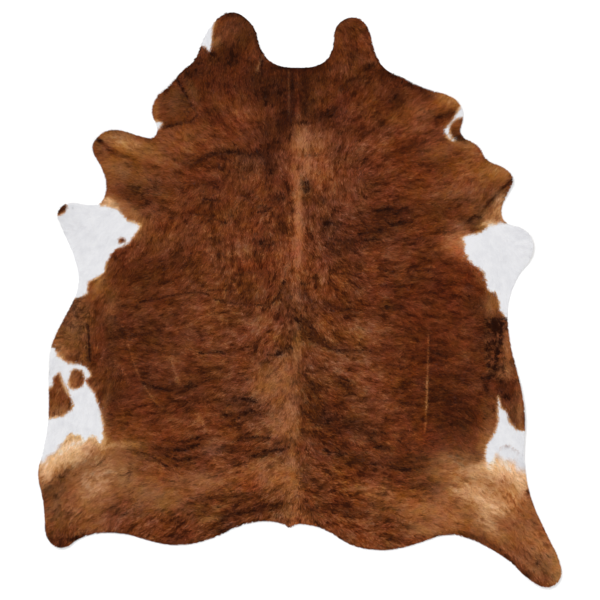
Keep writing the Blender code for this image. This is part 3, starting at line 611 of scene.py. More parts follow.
# thin strokes: the line in view pixels, its half width in pixels, then dark, tan and light as above
strokes = [
    ([(428, 335), (427.5, 360), (426.8, 380), (425.8, 405), (424.5, 432)], 1, 0, 0.2, 0.75),
    ([(426.8, 378), (425.8, 407)], 0.9, 0, 0.5, 0.5),
    ([(129, 345), (133, 358), (137, 370), (141, 380), (147, 390), (155, 400),
      (161, 407)], 1.2, 0, 0.05, 0.45), ([(150, 362), (151, 375), (152, 390)], 1.2, 0, 0, 0.3),
    ([(172, 361), (175, 370), (178, 380), (179, 384)], 2, 0, 0.05, 0.45),
    ([(122, 369), (126, 375), (130, 383)], 1.4, 0, 0, 0.45), ([(118, 319), (126, 330)], 1.2, 0, 0, 0.3),
    ([(236, 250), (240, 256), (244, 262)], 1, 0, 0, 0.4),
    ([(206, 250), (213, 256), (217, 271)], 1.1, 0, 0, 0.4),
    ([(232, 280), (236, 287), (240, 293)], 1.1, 0, 0, 0.45),
    ([(184, 264), (190, 252), (198, 248)], 1.1, 0, 0, 0.35), ([(200, 415), (206, 428)], 2.5, 0, 0, 0.4),
    # wavy dark lines, shoulder and left side
    ([(140, 302), (150, 300), (160, 299), (168, 296), (180, 294), (192, 292), (203, 292.5),
      (210, 295)], 1.2, 0.6),
    ([(216, 299), (226, 301), (236, 303.5), (248, 303), (258, 304.5), (268, 304)], 1.2, 0.6),
    ([(272, 302), (277, 297), (281, 290), (284, 282)], 1.5, 0.65),
    ([(192, 212), (200, 214), (208, 215), (216, 219), (226, 223)], 1.4, 0.5),
    ([(204, 198), (212, 199.5), (220, 199.5)], 1.1, 0.6), ([(212, 245), (220, 251), (226, 256)], 1.3, 0.35),
    ([(183, 267), (188, 261), (192, 257)], 1.3, 0.4), ([(160, 281), (175, 281)], 1.3, 0.4),
    ([(192, 281), (205, 283)], 1.3, 0.35), ([(258, 212), (266, 211), (272, 206)], 1.6, 0.5),
    ([(256, 241), (264, 245), (272, 243)], 1.8, 0.55), ([(243, 195), (252, 200)], 1.8, 0.55),
    ([(208, 290), (222, 289), (235, 290)], 1, 0.4), ([(245, 289), (252, 288)], 1.2, 0.5),
    ([(240, 272), (252, 271), (262, 273)], 1.1, 0.3),
    ([(140, 381), (150, 385), (158, 388), (166, 389), (172, 391)], 1.8, 0.6),
    ([(183, 389), (190, 388), (197, 386)], 1.8, 0.5), ([(205, 381), (212, 378), (220, 378)], 1.5, 0.35),
    ([(130, 337), (140, 335), (152, 333)], 1.8, 0.45), ([(150, 351), (160, 353), (182, 354)], 1.2, 0.4),
    ([(200, 353), (215, 353), (232, 354)], 1.3, 0.4),
    ([(268, 354), (276, 355), (284, 349), (290, 345)], 1.8, 0.5),
    ([(233, 400), (240, 397), (248, 399)], 1.8, 0.5),
    ([(220, 410), (228, 415), (238, 417), (246, 413)], 1.8, 0.5),
    ([(225, 424), (235, 427), (242, 425)], 1.6, 0.5), ([(250, 408), (256, 412), (262, 415)], 1.7, 0.5),
    ([(162, 440), (172, 441), (180, 442), (190, 441), (200, 436), (208, 434)], 1.2, 0.65),
    ([(157, 446), (165, 449), (175, 451), (186, 450), (192, 446), (200, 444)], 1.5, 0.9),
    ([(165, 455), (172, 458), (180, 461), (188, 458), (198, 458)], 1.5, 0.9),
    ([(128, 449), (140, 452), (150, 455), (158, 460), (165, 465), (172, 468)], 1.2, 0.7),
    ([(176, 467), (186, 465), (196, 463)], 1.2, 0.5),
    ([(238, 441), (243, 438), (252, 437), (262, 437), (272, 438)], 1.5, 0.6),
    ([(218, 452), (228, 450), (238, 447)], 1.5, 0.45),
    ([(250, 458), (258, 456), (266, 452), (276, 450), (288, 447)], 1.8, 0.55),
    # wavy dark lines, right side
    ([(372, 211), (380, 211), (387, 208)], 1.8, 0.5), ([(395, 211), (405, 208), (412, 213)], 1.8, 0.5),
    ([(385, 221), (392, 225), (400, 222), (410, 221)], 1.5, 0.65),
    ([(358, 234), (368, 232), (377, 231), (384, 228)], 1.7, 0.65),
    ([(325, 222), (332, 222), (338, 227)], 1.8, 0.45), ([(340, 224), (352, 226), (366, 224)], 1.3, 0.4),
    ([(330, 238), (342, 240), (354, 241), (368, 240), (380, 239)], 1.4, 0.55),
    ([(324, 245), (332, 249), (340, 252)], 1.5, 0.45), ([(350, 250), (358, 249), (366, 246)], 1.4, 0.45),
    ([(378, 268), (386, 271), (394, 272)], 1.7, 0.55), ([(340, 273), (352, 274), (360, 273)], 1.2, 0.35),
    ([(406, 270), (420, 271), (434, 270)], 1.3, 0.4), ([(394, 240), (410, 240), (425, 239)], 1.4, 0.4),
    ([(436, 229), (442, 233), (447, 232)], 2, 0.5), ([(450, 262), (458, 263), (464, 264)], 1.2, 0.4),
    ([(380, 285), (388, 286), (396, 284)], 1.5, 0.35), ([(384, 307), (392, 309), (400, 309)], 1.6, 0.5),
    ([(305, 290), (309, 298), (313, 308)], 1.6, 0.5),
    ([(322, 300), (332, 306), (344, 309), (352, 308)], 1.6, 0.5),
    ([(300, 316), (308, 322), (314, 330)], 1.8, 0.7), ([(324, 344), (330, 349)], 1.8, 0.5),
    ([(334, 350), (345, 350), (356, 350), (366, 350)], 1.3, 0.4),
    ([(336, 376), (342, 378), (348, 381)], 1.4, 0.55), ([(343, 386), (350, 388)], 2.4, 0.6),
    ([(310, 384), (318, 388)], 1.8, 0.45), ([(338, 414), (346, 418), (354, 420)], 1.5, 0.45),
    ([(302, 410), (314, 420), (326, 424), (336, 430)], 1.6, 0.45),
    ([(365, 432), (370, 437), (374, 434)], 1.8, 0.55), ([(380, 431), (386, 434)], 1.5, 0.5),
    ([(374, 446), (382, 449), (388, 447)], 1.8, 0.6), ([(396, 439), (402, 444), (409, 450)], 1.3, 0.5),
    ([(370, 463), (380, 464), (392, 466), (402, 469), (414, 468), (424, 471)], 1.8, 0.6),
    ([(392, 365), (402, 367), (412, 370)], 1.3, 0.35), ([(404, 379), (412, 381), (422, 385)], 1.3, 0.35),
    ([(352, 400), (366, 400), (380, 401), (392, 400)], 1.2, 0.4),
    ([(396, 401), (404, 404), (412, 405)], 1.3, 0.5), ([(428, 350), (438, 354), (446, 357)], 1.8, 0.5),
    ([(430, 397), (440, 400), (450, 402), (460, 401)], 1.5, 0.5),
    ([(434, 386), (444, 390), (448, 392)], 1.3, 0.4), ([(455, 379), (463, 383), (470, 385)], 1.8, 0.45),
    ([(452, 421), (460, 425), (464, 426)], 1.8, 0.4), ([(340, 440), (352, 445)], 1.4, 0.4),
    ([(480, 378), (488, 379), (492, 376)], 1.5, 0.8), ([(484, 386), (488, 394)], 2.4, 0.5),
    ([(262.5, 55), (260.3, 61), (257, 70)], 1.3, 0, 0.3, 0.7),
    ([(478, 218), (484, 211), (491, 203), (500, 191)], 2.4, 0.6),
    ([(513, 178), (506, 185), (498, 193), (490, 202), (482, 211)], 1.5, 1, -0.2, -0.2),
    # painted shade and painted highlights of faint creases in the white: the greyer strokes are their shade,
    # the lighter ones their lit sides
    ([(512, 242), (521, 238), (530, 235)], 2, 0, 0, -0.7),
    ([(515, 247), (523, 247), (531, 249)], 1.6, 0, 0, -0.6),
    ([(520, 256), (526, 255), (531, 258)], 1.5, 0, 0, -0.6), ([(513, 229), (521, 231)], 1.8, 0, 0, -0.6),
    ([(523, 242), (531, 242)], 1.5, 0, 0, 0.7), ([(503, 232), (500, 246), (504, 262)], 3, 0, 0, -0.25),
    ([(78, 222), (90, 232), (98, 244)], 3, 0, 0, -0.35), ([(92, 212), (96, 228), (92, 250)], 2, 0, 0, 0.35),
    ([(62, 222), (72, 226), (80, 240), (84, 262)], 3, 0, 0, -0.3),
    ([(72, 400), (84, 392), (90, 404)], 2.5, 0, 0, -0.3),
    ([(56, 428), (70, 424), (88, 430)], 2.5, 0, 0, -0.3), ([(508, 432), (512, 446)], 2.5, 0, 0, 0.3),
    ([(466, 222), (474, 225), (482, 221)], 1.8, 0.6), ([(88, 322), (89, 340), (90.5, 360)], 1.5, 0.8),
    # painted shade under the lower fold of the cheek's tuck
    ([(181, 124), (172, 125.5), (163, 127)], 1.8, 0.7),
    ([(192, 167), (203, 159), (214, 154), (232, 151), (248, 154), (262, 156)], 2.4, 0.6),
    ([(292, 70), (292, 116)], 2, 0.7), ([(288.7, 70), (289, 114)], 0.8, 0, 0.1, 0.3),
    ([(484, 318.5), (507, 318.5)], 1.3, 0.9), ([(494, 370), (498, 345), (503, 320)], 1.8, 0.6)]

# the sewn-up tuck in the left cheek: its line in view pixels, width and depth (m), and the painted shade that
# it lays in its crease, with what is added where it is deepest (view x, y, half length, half width, heading)
tuck = dict(line=[(176.4, 77.5), (184.5, 91), (190.7, 103.3), (197, 114), (190, 121.5), (181, 123.5)],
            width=0.0058, depth=0.00204, deepest=(182.5, 88, 17, 9, 60), shade=0.60, shadeDeepest=0.80,
            strokeWidth=1.6)

softness = dict(fade=0.9, power=1.2)    # an ellipse covers exp(-fade * square^power)


# how far a soft ellipse in view pixels covers each point: 1 in its middle, 0.4 on its line, then fading out
def ellipseCover(points, x, y, *shape):
    square = ellipseSquare((points - onHide(x, y)) / perPixel, *shape)
    return np.exp(-softness["fade"] * square ** softness["power"])


# the largest cover of a group of ellipses at each point
def largestCover(points, ellipses):
    return np.max([ellipseCover(points, *ellipse) for ellipse in ellipses], axis=0)


# exp(-(distance / width)^2) from a line in view pixels, for the points in its box: their rows and covers
def lineCover(points, line, width):
    path = pathOnHide(line)
    inBox = (points > path.min(0) - 3 * width) & (points < path.max(0) + 3 * width)
    rows = np.flatnonzero(inBox.all(1))
    distance, _ = nearestOnLines(points[rows], path[:-1], path[1:]) if len(rows) else (np.zeros(0), None)
    return rows, np.exp(-(distance / width) ** 2)


# 1 on the thin strokes, fading out within a few pixels: locks are short there, so that a stroke stays thin
def strokeNear(points, fadeOut=1.5):
    near = np.zeros(len(points))
    for line, halfWidth, *_ in strokes + [(tuck["line"], tuck["strokeWidth"])]:
        rows, cover = lineCover(points, line, (halfWidth + fadeOut) * perPixel)
        near[rows] = np.maximum(near[rows], cover)
    return near


# adds a patch or stroke to the tone: dark covers what dark has left free, the shares of tan and light add up
def addTone(tone, rows, cover, dark, tan=0, light=0):
    tone[0, rows] += (1 - tone[0, rows]) * dark * cover
    tone[1, rows] += tan * cover
    tone[2, rows] += light * cover


# the coat's tone at each point (dark, tan, light) from the soft patches and the strokes
def toneAt(points, strokeDark=1.25):
    tone = np.zeros((3, len(points)))
    for row in tones:
        addTone(tone, slice(None), ellipseCover(points, *row[:5]), *row[5:])
    for line, halfWidth, dark, *others in strokes:
        rows, cover = lineCover(points, line, halfWidth * perPixel)
        addTone(tone, rows, cover, min(strokeDark * dark, 1), *others)
    return tone


# what the red, green and blue of a lock are multiplied by: golden lifts green, greyish lifts blue
tintMix = dict(golden=[(0.050, 0.17, 61), (0.017, 0.12, 62)], goldenLock=0.10, goldenLimits=(-1.2, 0.9),
               greyish=[(0.060, 0.24, 64), (0.020, 0.20, 65), (0.008, 0.14, 66)], greyishLimits=(-1.4, 1.4),
               onGolden=(-0.04, 0.26, 0.34), blueOnGreyish=0.46,
               lessOnTan=0.65)          # pale hair shifts less


# golden and greyish: the patches of hue added up, then noise and each lock's own share of golden
def tintAt(points, hairRandom, tan):
    mix = tintMix
    golden, greyish = np.zeros((2, len(points)))
    for *ellipse, goldenShare, greyishShare in hues:
        cover = ellipseCover(points, *ellipse)
        golden += goldenShare * cover
        greyish += greyishShare * cover
    golden += layeredNoise(points, mix["golden"], evenNoise) + mix["goldenLock"] * hairRandom
    greyish += layeredNoise(points, mix["greyish"], evenNoise)
    kept = 1 - mix["lessOnTan"] * np.clip(tan, 0, 1)
    golden = np.clip(golden, *mix["goldenLimits"]) * kept
    greyish = np.clip(greyish, *mix["greyishLimits"]) * kept
    red, green, blue = (1 + share * golden for share in mix["onGolden"])
    return np.stack([red, green, blue * (1 + mix["blueOnGreyish"] * greyish)], 1)


# metres inside the white, negative in the brown
def whiteEdge(points):
    return np.minimum(depthInGroup(points, markings["white"]), -depthInGroup(points, markings["brown"]))


# 1 on the pieces that are let into the belly
def insertAt(points, edge=(-0.002, 0.004)):
    return smoothStep(depthInGroup(points, markings["inserts"]), *edge)


# how the coat's random detail is mixed; layers are rows of cell (m), weight and seed
coatMix = dict(
    wander=[(0.030, 1, 21), (0.010, 0.6, 22)],
    whiteEdge=(-0.0028, 0.0040),        # metres over which brown turns white
    fadeEdge=(0.15, 0.95), fadeStray=0.10,
    # noise drawn out along the lay: width, length (m), seed and steps
    streaks=dict(coarse=(0.018, 0.055, 31), lines=(0.0085, 0.048, 36), fine=(0.0050, 0.022, 32, 4)),
    # brindle lies across the back whichever way the hair lies; mottling lies no way at all
    brindle=[(0.0095, 1, 39), (0.020, 0.6, 40)], brindleStretch=2.8, brindleWave=[(0.06, 0.010, 38)],
    mottle=[(0.016, 1, 41), (0.0085, 1, 42)], grain=(0.0042, 43), cloud=(0.11, 33), single=37,
    curl=[(0.011, 1, 34), (0.0055, 0.7, 35)],
    # the coat is livelier beside the spine and on the hind legs than on the flanks
    lively=dict(flanks=0.78, spine=0.34, spineReach=0.30, spineFrom=(-0.95, 0.0), hind=0.30,
                hindFrom=(0.50, 0.85)),
    inStreaks=dict(coarse=0.30, lines=0.32, fine=0.22, brindle=0.36, mottle=0.30),
    inTan=dict(fine=0.13, lines=0.13, mottle=0.10, single=0.08),
    inLight=dict(fine=0.080, coarse=0.080, lines=0.080, brindle=0.085, mottle=0.052, grain=0.050,
                 single=0.105),
    insertCalm=0.5, insertCurl=1.3,
    # dark's rim is how strong the painted shade along the hide's edge is
    dark=dict(base=0.16, tone=0.60, insert=0.22, tan=-0.14, streak=0.20, streakTone=0.9, lock=0.20,
              edge=(0.08, 0.98), amongTan=0.35, rim=0.45),
    tan=dict(noisyUpTo=0.7, fringe=1.05, insert=0.10, limit=2.2),
    light=dict(base=0.455, tone=0.48, cloud=0.07, fringe=0.30, insert=0.10))


# the coat's random fields at each point, most of them with a spread of 1
def coatNoise(points):
    mix = coatMix
    fields = {name: streakNoise(points, *row) for name, row in mix["streaks"].items()}
    across = points[:, 0] / mix["brindleStretch"]
    bent = np.stack([across, points[:, 1] + layeredNoise(points, mix["brindleWave"])], 1)
    fields["brindle"] = layeredNoise(bent, mix["brindle"], evenNoise)
    fields["mottle"] = layeredNoise(points, mix["mottle"], evenNoise)
    fields["grain"] = evenNoise(points, *mix["grain"])
    fields["single"] = np.random.default_rng(mix["single"]).normal(size=len(points))
    return fields


# fields added up, each times its share
def mixed(fields, shares):
    return sum(share * fields[name] for name, share in shares.items())


# every share that the materials mix: white, dark, tan and light, each a base plus its patches, its noise and
# what borders, inserts and the rim's painted shade add
def coatAt(points, hairRandom, depth):
    mix, fields = coatMix, coatNoise(points)
    forDark, forTan, forLight, lively = mix["dark"], mix["tan"], mix["light"], mix["lively"]
    wander = layeredNoise(points, mix["wander"])
    stray = wander * markings["borderRagged"] + hairRandom * markings["borderHair"]
    edge = whiteEdge(points)
    fade = largestCover(points, markings["fades"]) + mix["fadeStray"] * (hairRandom + wander)
    fade = smoothStep(fade, *mix["fadeEdge"])
    white = 1 - (1 - smoothStep(edge + stray, *mix["whiteEdge"])) * (1 - fade)
    fringe = np.exp(-(np.minimum(edge, 0) / markings["fringe"]) ** 2) * (1 - fade)
    insert = insertAt(points)
    dark, tan, light = toneAt(points)
    pale = np.clip(tan, 0, 1)
    strength = (lively["flanks"]
                + lively["spine"] * np.exp(-(points[:, 0] / lively["spineReach"]) ** 2)
                * smoothStep(-points[:, 1], *lively["spineFrom"])
                + lively["hind"] * smoothStep(-points[:, 1], *lively["hindFrom"]))
    streak = mixed(fields, mix["inStreaks"]) * strength
    curl = layeredNoise(points, mix["curl"])
    streak = streak * (1 - mix["insertCalm"] * insert) + mix["insertCurl"] * curl * insert
    zone = (forDark["base"] + forDark["tone"] * dark + forDark["insert"] * insert + forDark["tan"] * pale
            + forDark["streak"] * streak * (forDark["streakTone"] + dark) + forDark["lock"] * hairRandom)
    # among pale hair the dark hair is brown, not black
    dark = (1 - forDark["amongTan"] * pale) * smoothStep(zone, *forDark["edge"])
    # painted shade: a darker line along the hide's edge, left out where the edge catches the light
    rim = np.exp(-np.maximum(depth, 0) / markings["rimShade"])
    rim *= 1 - largestCover(points, markings["paleRims"])
    dark = np.clip(dark + forDark["rim"] * rim, 0, 1)
    tan = tan + np.minimum(tan, forTan["noisyUpTo"]) * mixed(fields, mix["inTan"])
    tan = np.clip(tan + forTan["fringe"] * fringe + forTan["insert"] * insert, 0, forTan["limit"])
    light = (forLight["base"] + forLight["tone"] * light
             + forLight["cloud"] * valueNoise(points, *mix["cloud"])
             + mixed(fields, mix["inLight"]) * strength
             + forLight["fringe"] * fringe + forLight["insert"] * insert)
    return dict(white=white, dark=dark, tan=tan, light=np.clip(light, 0, 1))


# writes one number per vertex under each name
def giveShares(mesh, shares):
    for name, values in shares.items():
        attribute = mesh.attributes.new(name, "FLOAT", "POINT")
        attribute.data.foreach_set("value", np.asarray(values, np.float32))


# writes three numbers per vertex
def giveVectors(mesh, name, vectors):
    attribute = mesh.attributes.new(name, "FLOAT_VECTOR", "POINT")
    attribute.data.foreach_set("vector", vectors.astype(np.float32).ravel())


# a mesh from whole arrays: vertices, then faces that all have the same number of corners
def meshFromArrays(name, vertices, faces):
    mesh = bpy.data.meshes.new(name)
    mesh.vertices.add(len(vertices))
    mesh.vertices.foreach_set("co", np.asarray(vertices, np.float32).ravel())
    mesh.loops.add(faces.size)
    mesh.loops.foreach_set("vertex_index", faces.ravel().astype(np.int32))
    mesh.polygons.add(len(faces))
    mesh.polygons.foreach_set("loop_start", np.arange(0, faces.size, faces.shape[1], dtype=np.int32))
    mesh.polygons.foreach_set("use_smooth", np.ones(len(faces), bool))
    mesh.update(calc_edges=True)
    return mesh


# an object at the origin, unturned and unscaled
def placeObject(name, data):
    obj = bpy.data.objects.new(name, data)
    bpy.context.scene.collection.objects.link(obj)
    return obj


# rust by how light it is, then the other colours of hair
coatColours = dict(rust=[(0.00, (0.031, 0.0058, 0.0010)), (0.25, (0.077, 0.0163, 0.0032)),
                         (0.50, (0.147, 0.0336, 0.0086)), (0.75, (0.251, 0.0664, 0.0192)),
                         (1.00, (0.400, 0.1390, 0.0510))],
                   # each with the tan shares between which it takes over
                   tan=((0.0, 0.8), (0.38, 0.155, 0.050)), cream=((0.60, 1.60), (0.74, 0.44, 0.22)),
                   palest=((1.60, 2.20), (0.80, 0.68, 0.54)),
                   dark=(0.0165, 0.0028, 0.0002),
                   whiteLow=(0.575, 0.575, 0.602), whiteHigh=(0.690, 0.688, 0.705))


# small helpers for node trees
class Nodes:
    def __init__(self, name):
        self.material = bpy.data.materials.new(name)
        self.material.use_nodes = True
        self.tree = self.material.node_tree
        self.shader = self.tree.nodes["Principled BSDF"]

    def add(self, kind, **settings):
        node = self.tree.nodes.new(kind)
        for key, value in settings.items():
            setattr(node, key, value)
        return node

    def link(self, source, target):
        self.tree.links.new(source, target)

    # links what comes from another node and sets what is a number or a colour
    def feed(self, sockets, values):
        for socket, value in zip(sockets, values):
            if hasattr(value, "is_linked"):
                self.link(value, socket)
            else:
                socket.default_value = (*value, 1) if isinstance(value, tuple) else value

    # where a point lies on the object, and a share or a vector that the mesh carries
    def place(self):
        return self.add("ShaderNodeTexCoord").outputs["Object"]

    def share(self, name, output="Fac"):
        return self.add("ShaderNodeAttribute", attribute_name=name).outputs[output]

    def vector(self, name):
        return self.share(name, "Vector")

    def mix(self, factor, first, second, blend="MIX"):
        node = self.add("ShaderNodeMix", data_type="RGBA", blend_type=blend)
        self.feed((node.inputs[0], node.inputs[6], node.inputs[7]), (factor, first, second))
        return node.outputs[2]

    def times(self, first, second):
        node = self.add("ShaderNodeMath", operation="MULTIPLY")
        self.feed(node.inputs, (first, second))
        return node.outputs[0]

    def range(self, *values):
        node = self.add("ShaderNodeMapRange")
        self.feed(node.inputs, values)
        return node.outputs[0]

    def noise(self, place, scale, detail=2.0, roughness=0.5):
        node = self.add("ShaderNodeTexNoise")
        names = ("Vector", "Scale", "Detail", "Roughness")
        self.feed([node.inputs[name] for name in names], (place, scale, detail, roughness))
        return node.outputs["Fac"]

    def ramp(self, value, stops):
        node = self.add("ShaderNodeValToRGB")
        ramp = node.color_ramp
        while len(ramp.elements) < len(stops):
            ramp.elements.new(0.5)
        for element, (place, colour) in zip(ramp.elements, stops):
            element.position = place
            element.color = (*colour, 1)
        self.link(value, node.inputs["Fac"])
        return node.outputs["Color"]

    # colour times shade, with roughness and bump that follow the same noise
    def finish(self, colour, shade, noise, look):
        self.link(self.mix(1.0, colour, shade, "MULTIPLY"), self.shader.inputs["Base Color"])
        self.link(self.range(noise, *look["roughness"]), self.shader.inputs["Roughness"])
        self.shader.inputs["Specular IOR Level"].default_value = look["specular"]
        node = self.add("ShaderNodeBump")
        node.inputs["Strength"].default_value, node.inputs["Distance"].default_value = look["bump"]
        self.link(noise, node.inputs["Height"])
        self.link(node.outputs["Normal"], self.shader.inputs["Normal"])
        return self.material


# the coat's colour: rust by how light it is, then tan to cream, then dark hair, then white
def coatColour(nodes):
    colour = nodes.ramp(nodes.share("light"), coatColours["rust"])
    tanShare = nodes.share("tan")
    for name in ("tan", "cream", "palest"):
        between, paler = coatColours[name]
        colour = nodes.mix(nodes.range(tanShare, *between, 0, 1), colour, paler)
    colour = nodes.mix(1.0, colour, nodes.vector("tint"), "MULTIPLY")
    colour = nodes.mix(nodes.share("dark"), colour, coatColours["dark"])
    white = nodes.mix(nodes.share("light"), coatColours["whiteLow"], coatColours["whiteHigh"])
    return nodes.mix(nodes.share("white"), colour, white)


# single hairs within a lock: noise drawn out along it (scale, detail, roughness), how it and the place from
# root to tip shade the hair, how much one lock differs from the next, and how much of all this the white
# loses; ranges run from low and high to low and high, and a bump is its strength and distance
hairLook = dict(stretch=(2.2, 0.8, 40.0), strands=(3.0, 3.0, 0.6), strandShade=(0.3, 0.7, 0.80, 1.18),
                alongShade=(0, 1, 0.78, 1.14), lockShade=(-1, 1, 0.84, 1.16), whiteCalm=0.96,
                roughness=(0.2, 0.8, 0.62, 0.84), specular=0.04, bump=(0.35, 0.0006))


# the coat's colour times strands, root to tip and lock, all of it fainter in the white
def hairMaterial():
    nodes = Nodes("hide_hair")
    colour = coatColour(nodes)
    stretch = nodes.add("ShaderNodeVectorMath", operation="MULTIPLY")
    stretch.inputs[1].default_value = hairLook["stretch"]
    nodes.link(nodes.vector("strandPlace"), stretch.inputs[0])
    strands = nodes.noise(stretch.outputs[0], *hairLook["strands"])
    shade = nodes.times(nodes.range(strands, *hairLook["strandShade"]),
                        nodes.range(nodes.share("along"), *hairLook["alongShade"]))
    shade = nodes.times(shade, nodes.range(nodes.share("strand"), *hairLook["lockShade"]))
    shade = nodes.mix(nodes.times(nodes.share("white"), hairLook["whiteCalm"]), shade, (1.0, 1.0, 1.0))
    return nodes.finish(colour, shade, strands, hairLook)


# the skin between the locks, darker than the hair except under the white
skinLook = dict(pores=(420.0, 3.0, 0.6), shade=(0.3, 0.7, 0.52, 0.80), whiteShade=(0.97, 0.96, 0.95),
                roughness=(0.2, 0.8, 0.62, 0.82), specular=0.10, bump=(0.5, 0.0010))


# the coat's colour times pores, or times an even shade in the white
def skinMaterial():
    nodes = Nodes("hide_skin")
    colour = coatColour(nodes)
    pores = nodes.noise(nodes.place(), *skinLook["pores"])
    shade = nodes.range(pores, *skinLook["shade"])
    shade = nodes.mix(nodes.share("white"), shade, skinLook["whiteShade"])
    return nodes.finish(colour, shade, pores, skinLook)


# the suede underneath: clouded beige with darker veins and a fine nap
suedeLook = dict(clouds=(3.5, 5.0, 0.55), nap=(260.0, 4.0, 0.65), veins=(22.0, 5.0, 0.70),
                 beige=[(0.30, (0.46, 0.36, 0.27)), (0.55, (0.60, 0.50, 0.40)), (0.75, (0.68, 0.60, 0.50))],
                 vein=(0.38, 0.27, 0.19), veinShare=(0.52, 0.72, 0, 0.35), shade=(0.3, 0.7, 0.86, 1.08),
                 roughness=(0.2, 0.8, 0.80, 0.96), specular=0.20, bump=(0.45, 0.0008))


# beige by the clouds, veins mixed in, times the nap
def suedeMaterial():
    nodes = Nodes("hide_suede")
    clouds, nap, veins = (nodes.noise(nodes.place(), *suedeLook[name]) for name in ("clouds", "nap", "veins"))
    colour = nodes.ramp(clouds, suedeLook["beige"])
    colour = nodes.mix(nodes.range(veins, *suedeLook["veinShare"]), colour, suedeLook["vein"])
    return nodes.finish(colour, nodes.range(nap, *suedeLook["shade"]), nap, suedeLook)


# the skin: one closed sheet of square cells (m)
leather = dict(cell=0.015, thickness=0.0022,
               inset=0.0015, skinClear=0.0001,  # how far it stands back from the edge and off the floor
               # in cells: how far the lattice stands past the hide, how far a corner is drawn to the edge,
               # and the least area of a face
               margin=2, snap=0.55, smallestFace=0.02)


# distance of each point from the cheek's tuck, and the nearest place on it
def nearestTuck(points):
    path = pathOnHide(tuck["line"])
    return nearestOnLines(points, path[:-1], path[1:])


# how deep the tuck is at each point, as a share: exp(-(distance / width)^2)
def tuckPress(points):
    distance, _ = nearestTuck(points)
    return np.exp(-(distance / tuck["width"]) ** 2)


# the painted shade in the tuck's crease: darkest where the tuck is deepest
def tuckShade(points):
    shade = tuck["shade"] + tuck["shadeDeepest"] * ellipseCover(points, *tuck["deepest"])
    return tuckPress(points) * shade


# height of the skin's top: lift + thickness - tuck, the tuck also taken at other points than the rest
def topAt(points, tuckPoints=None):
    press = tuckPress(points if tuckPoints is None else tuckPoints) * tuck["depth"]
    return liftAt(points) + leather["thickness"] + leather["skinClear"] - press


# a square lattice over the hide, its outermost vertices drawn onto the edge, then a top, an underside and a
# rim
def skinMesh():
    cell, margin = leather["cell"], leather["margin"]
    columns = int((cadHigh.x - cadLow.x) / cell) + 2 * margin + 1
    rows = int((cadHigh.y - cadLow.y) / cell) + 2 * margin + 1
    flat = crossings(cadLow.x - margin * cell + np.arange(columns) * cell,
                     cadLow.y - margin * cell + np.arange(rows) * cell)
    edgeDepth, nearest = depthInHide(flat)
    depth = edgeDepth - leather["inset"]
    close = np.abs(depth) < leather["snap"] * cell
    move = np.where(edgeDepth < 0, -depth, depth)
    flat = np.where(close[:, None], flat + unit(nearest - flat) * move[:, None], flat)
    kept = (depth > 0) | close
    # cells with four kept corners give two triangles, cells with three give one
    index = np.arange(columns * rows).reshape(columns, rows)
    quad = np.stack([index[:-1, :-1], index[1:, :-1], index[1:, 1:], index[:-1, 1:]], -1).reshape(-1, 4)
    full = quad[kept[quad].all(1)]
    three = quad[kept[quad].sum(1) == 3]
    lost = (~kept[three]).argmax(1)
    rolled = three[np.arange(len(three))[:, None], (lost[:, None] + np.array([1, 2, 3])) % 4]
    faces = np.concatenate([full[:, [0, 1, 2]], full[:, [0, 2, 3]], rolled])
    a, b, c = flat[faces].transpose(1, 0, 2)
    area = (b[:, 0] - a[:, 0]) * (c[:, 1] - a[:, 1]) - (b[:, 1] - a[:, 1]) * (c[:, 0] - a[:, 0])
    faces = faces[area > cell * cell * leather["smallestFace"]]
    used, faces = np.unique(faces, return_inverse=True)
    faces = faces.reshape(-1, 3)
    flat = flat[used]
    count = len(flat)
    top = np.column_stack([flat, topAt(flat)])
    under = np.column_stack([flat, liftAt(flat) + leather["skinClear"]])
    rim = rimEdges(faces)
    rimFaces = np.concatenate([np.column_stack([rim[:, 1], rim[:, 0], rim[:, 0] + count]),
                               np.column_stack([rim[:, 1], rim[:, 0] + count, rim[:, 1] + count])])
    return np.concatenate([top, under]), np.concatenate([faces, faces[:, ::-1] + count, rimFaces]), len(faces)


# the coat's shares and tint at each point, with painted shade along the cheek's tuck
def coatLook(points, hairRandom, depth):
    shares = coatAt(points, hairRandom, depth)
    shares["dark"] = np.clip(shares["dark"] + tuckShade(points), 0, 1)
    return shares, tintAt(points, hairRandom, shares["tan"])


# the skin's top and rim carry the coat's colour, its underside is suede
def buildSkin():
    vertices, faces, topCount = skinMesh()
    mesh = meshFromArrays("hide_skin", vertices, faces)
    flat = vertices[:, :2].copy()
    shares, tint = coatLook(flat, 0, depthInHide(flat)[0])
    giveShares(mesh, shares)
    giveVectors(mesh, "tint", tint)
    mesh.materials.append(skinMaterial())
    mesh.materials.append(suedeMaterial())
    slots = np.zeros(len(faces), np.int32)
    slots[topCount:2 * topCount] = 1
    mesh.polygons.foreach_set("material_index", slots)
    return placeObject("hide_skin", mesh)


skin = buildSkin()
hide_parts("hide")
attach(skin, "root")
print("skin:", len(skin.data.polygons), "triangles")

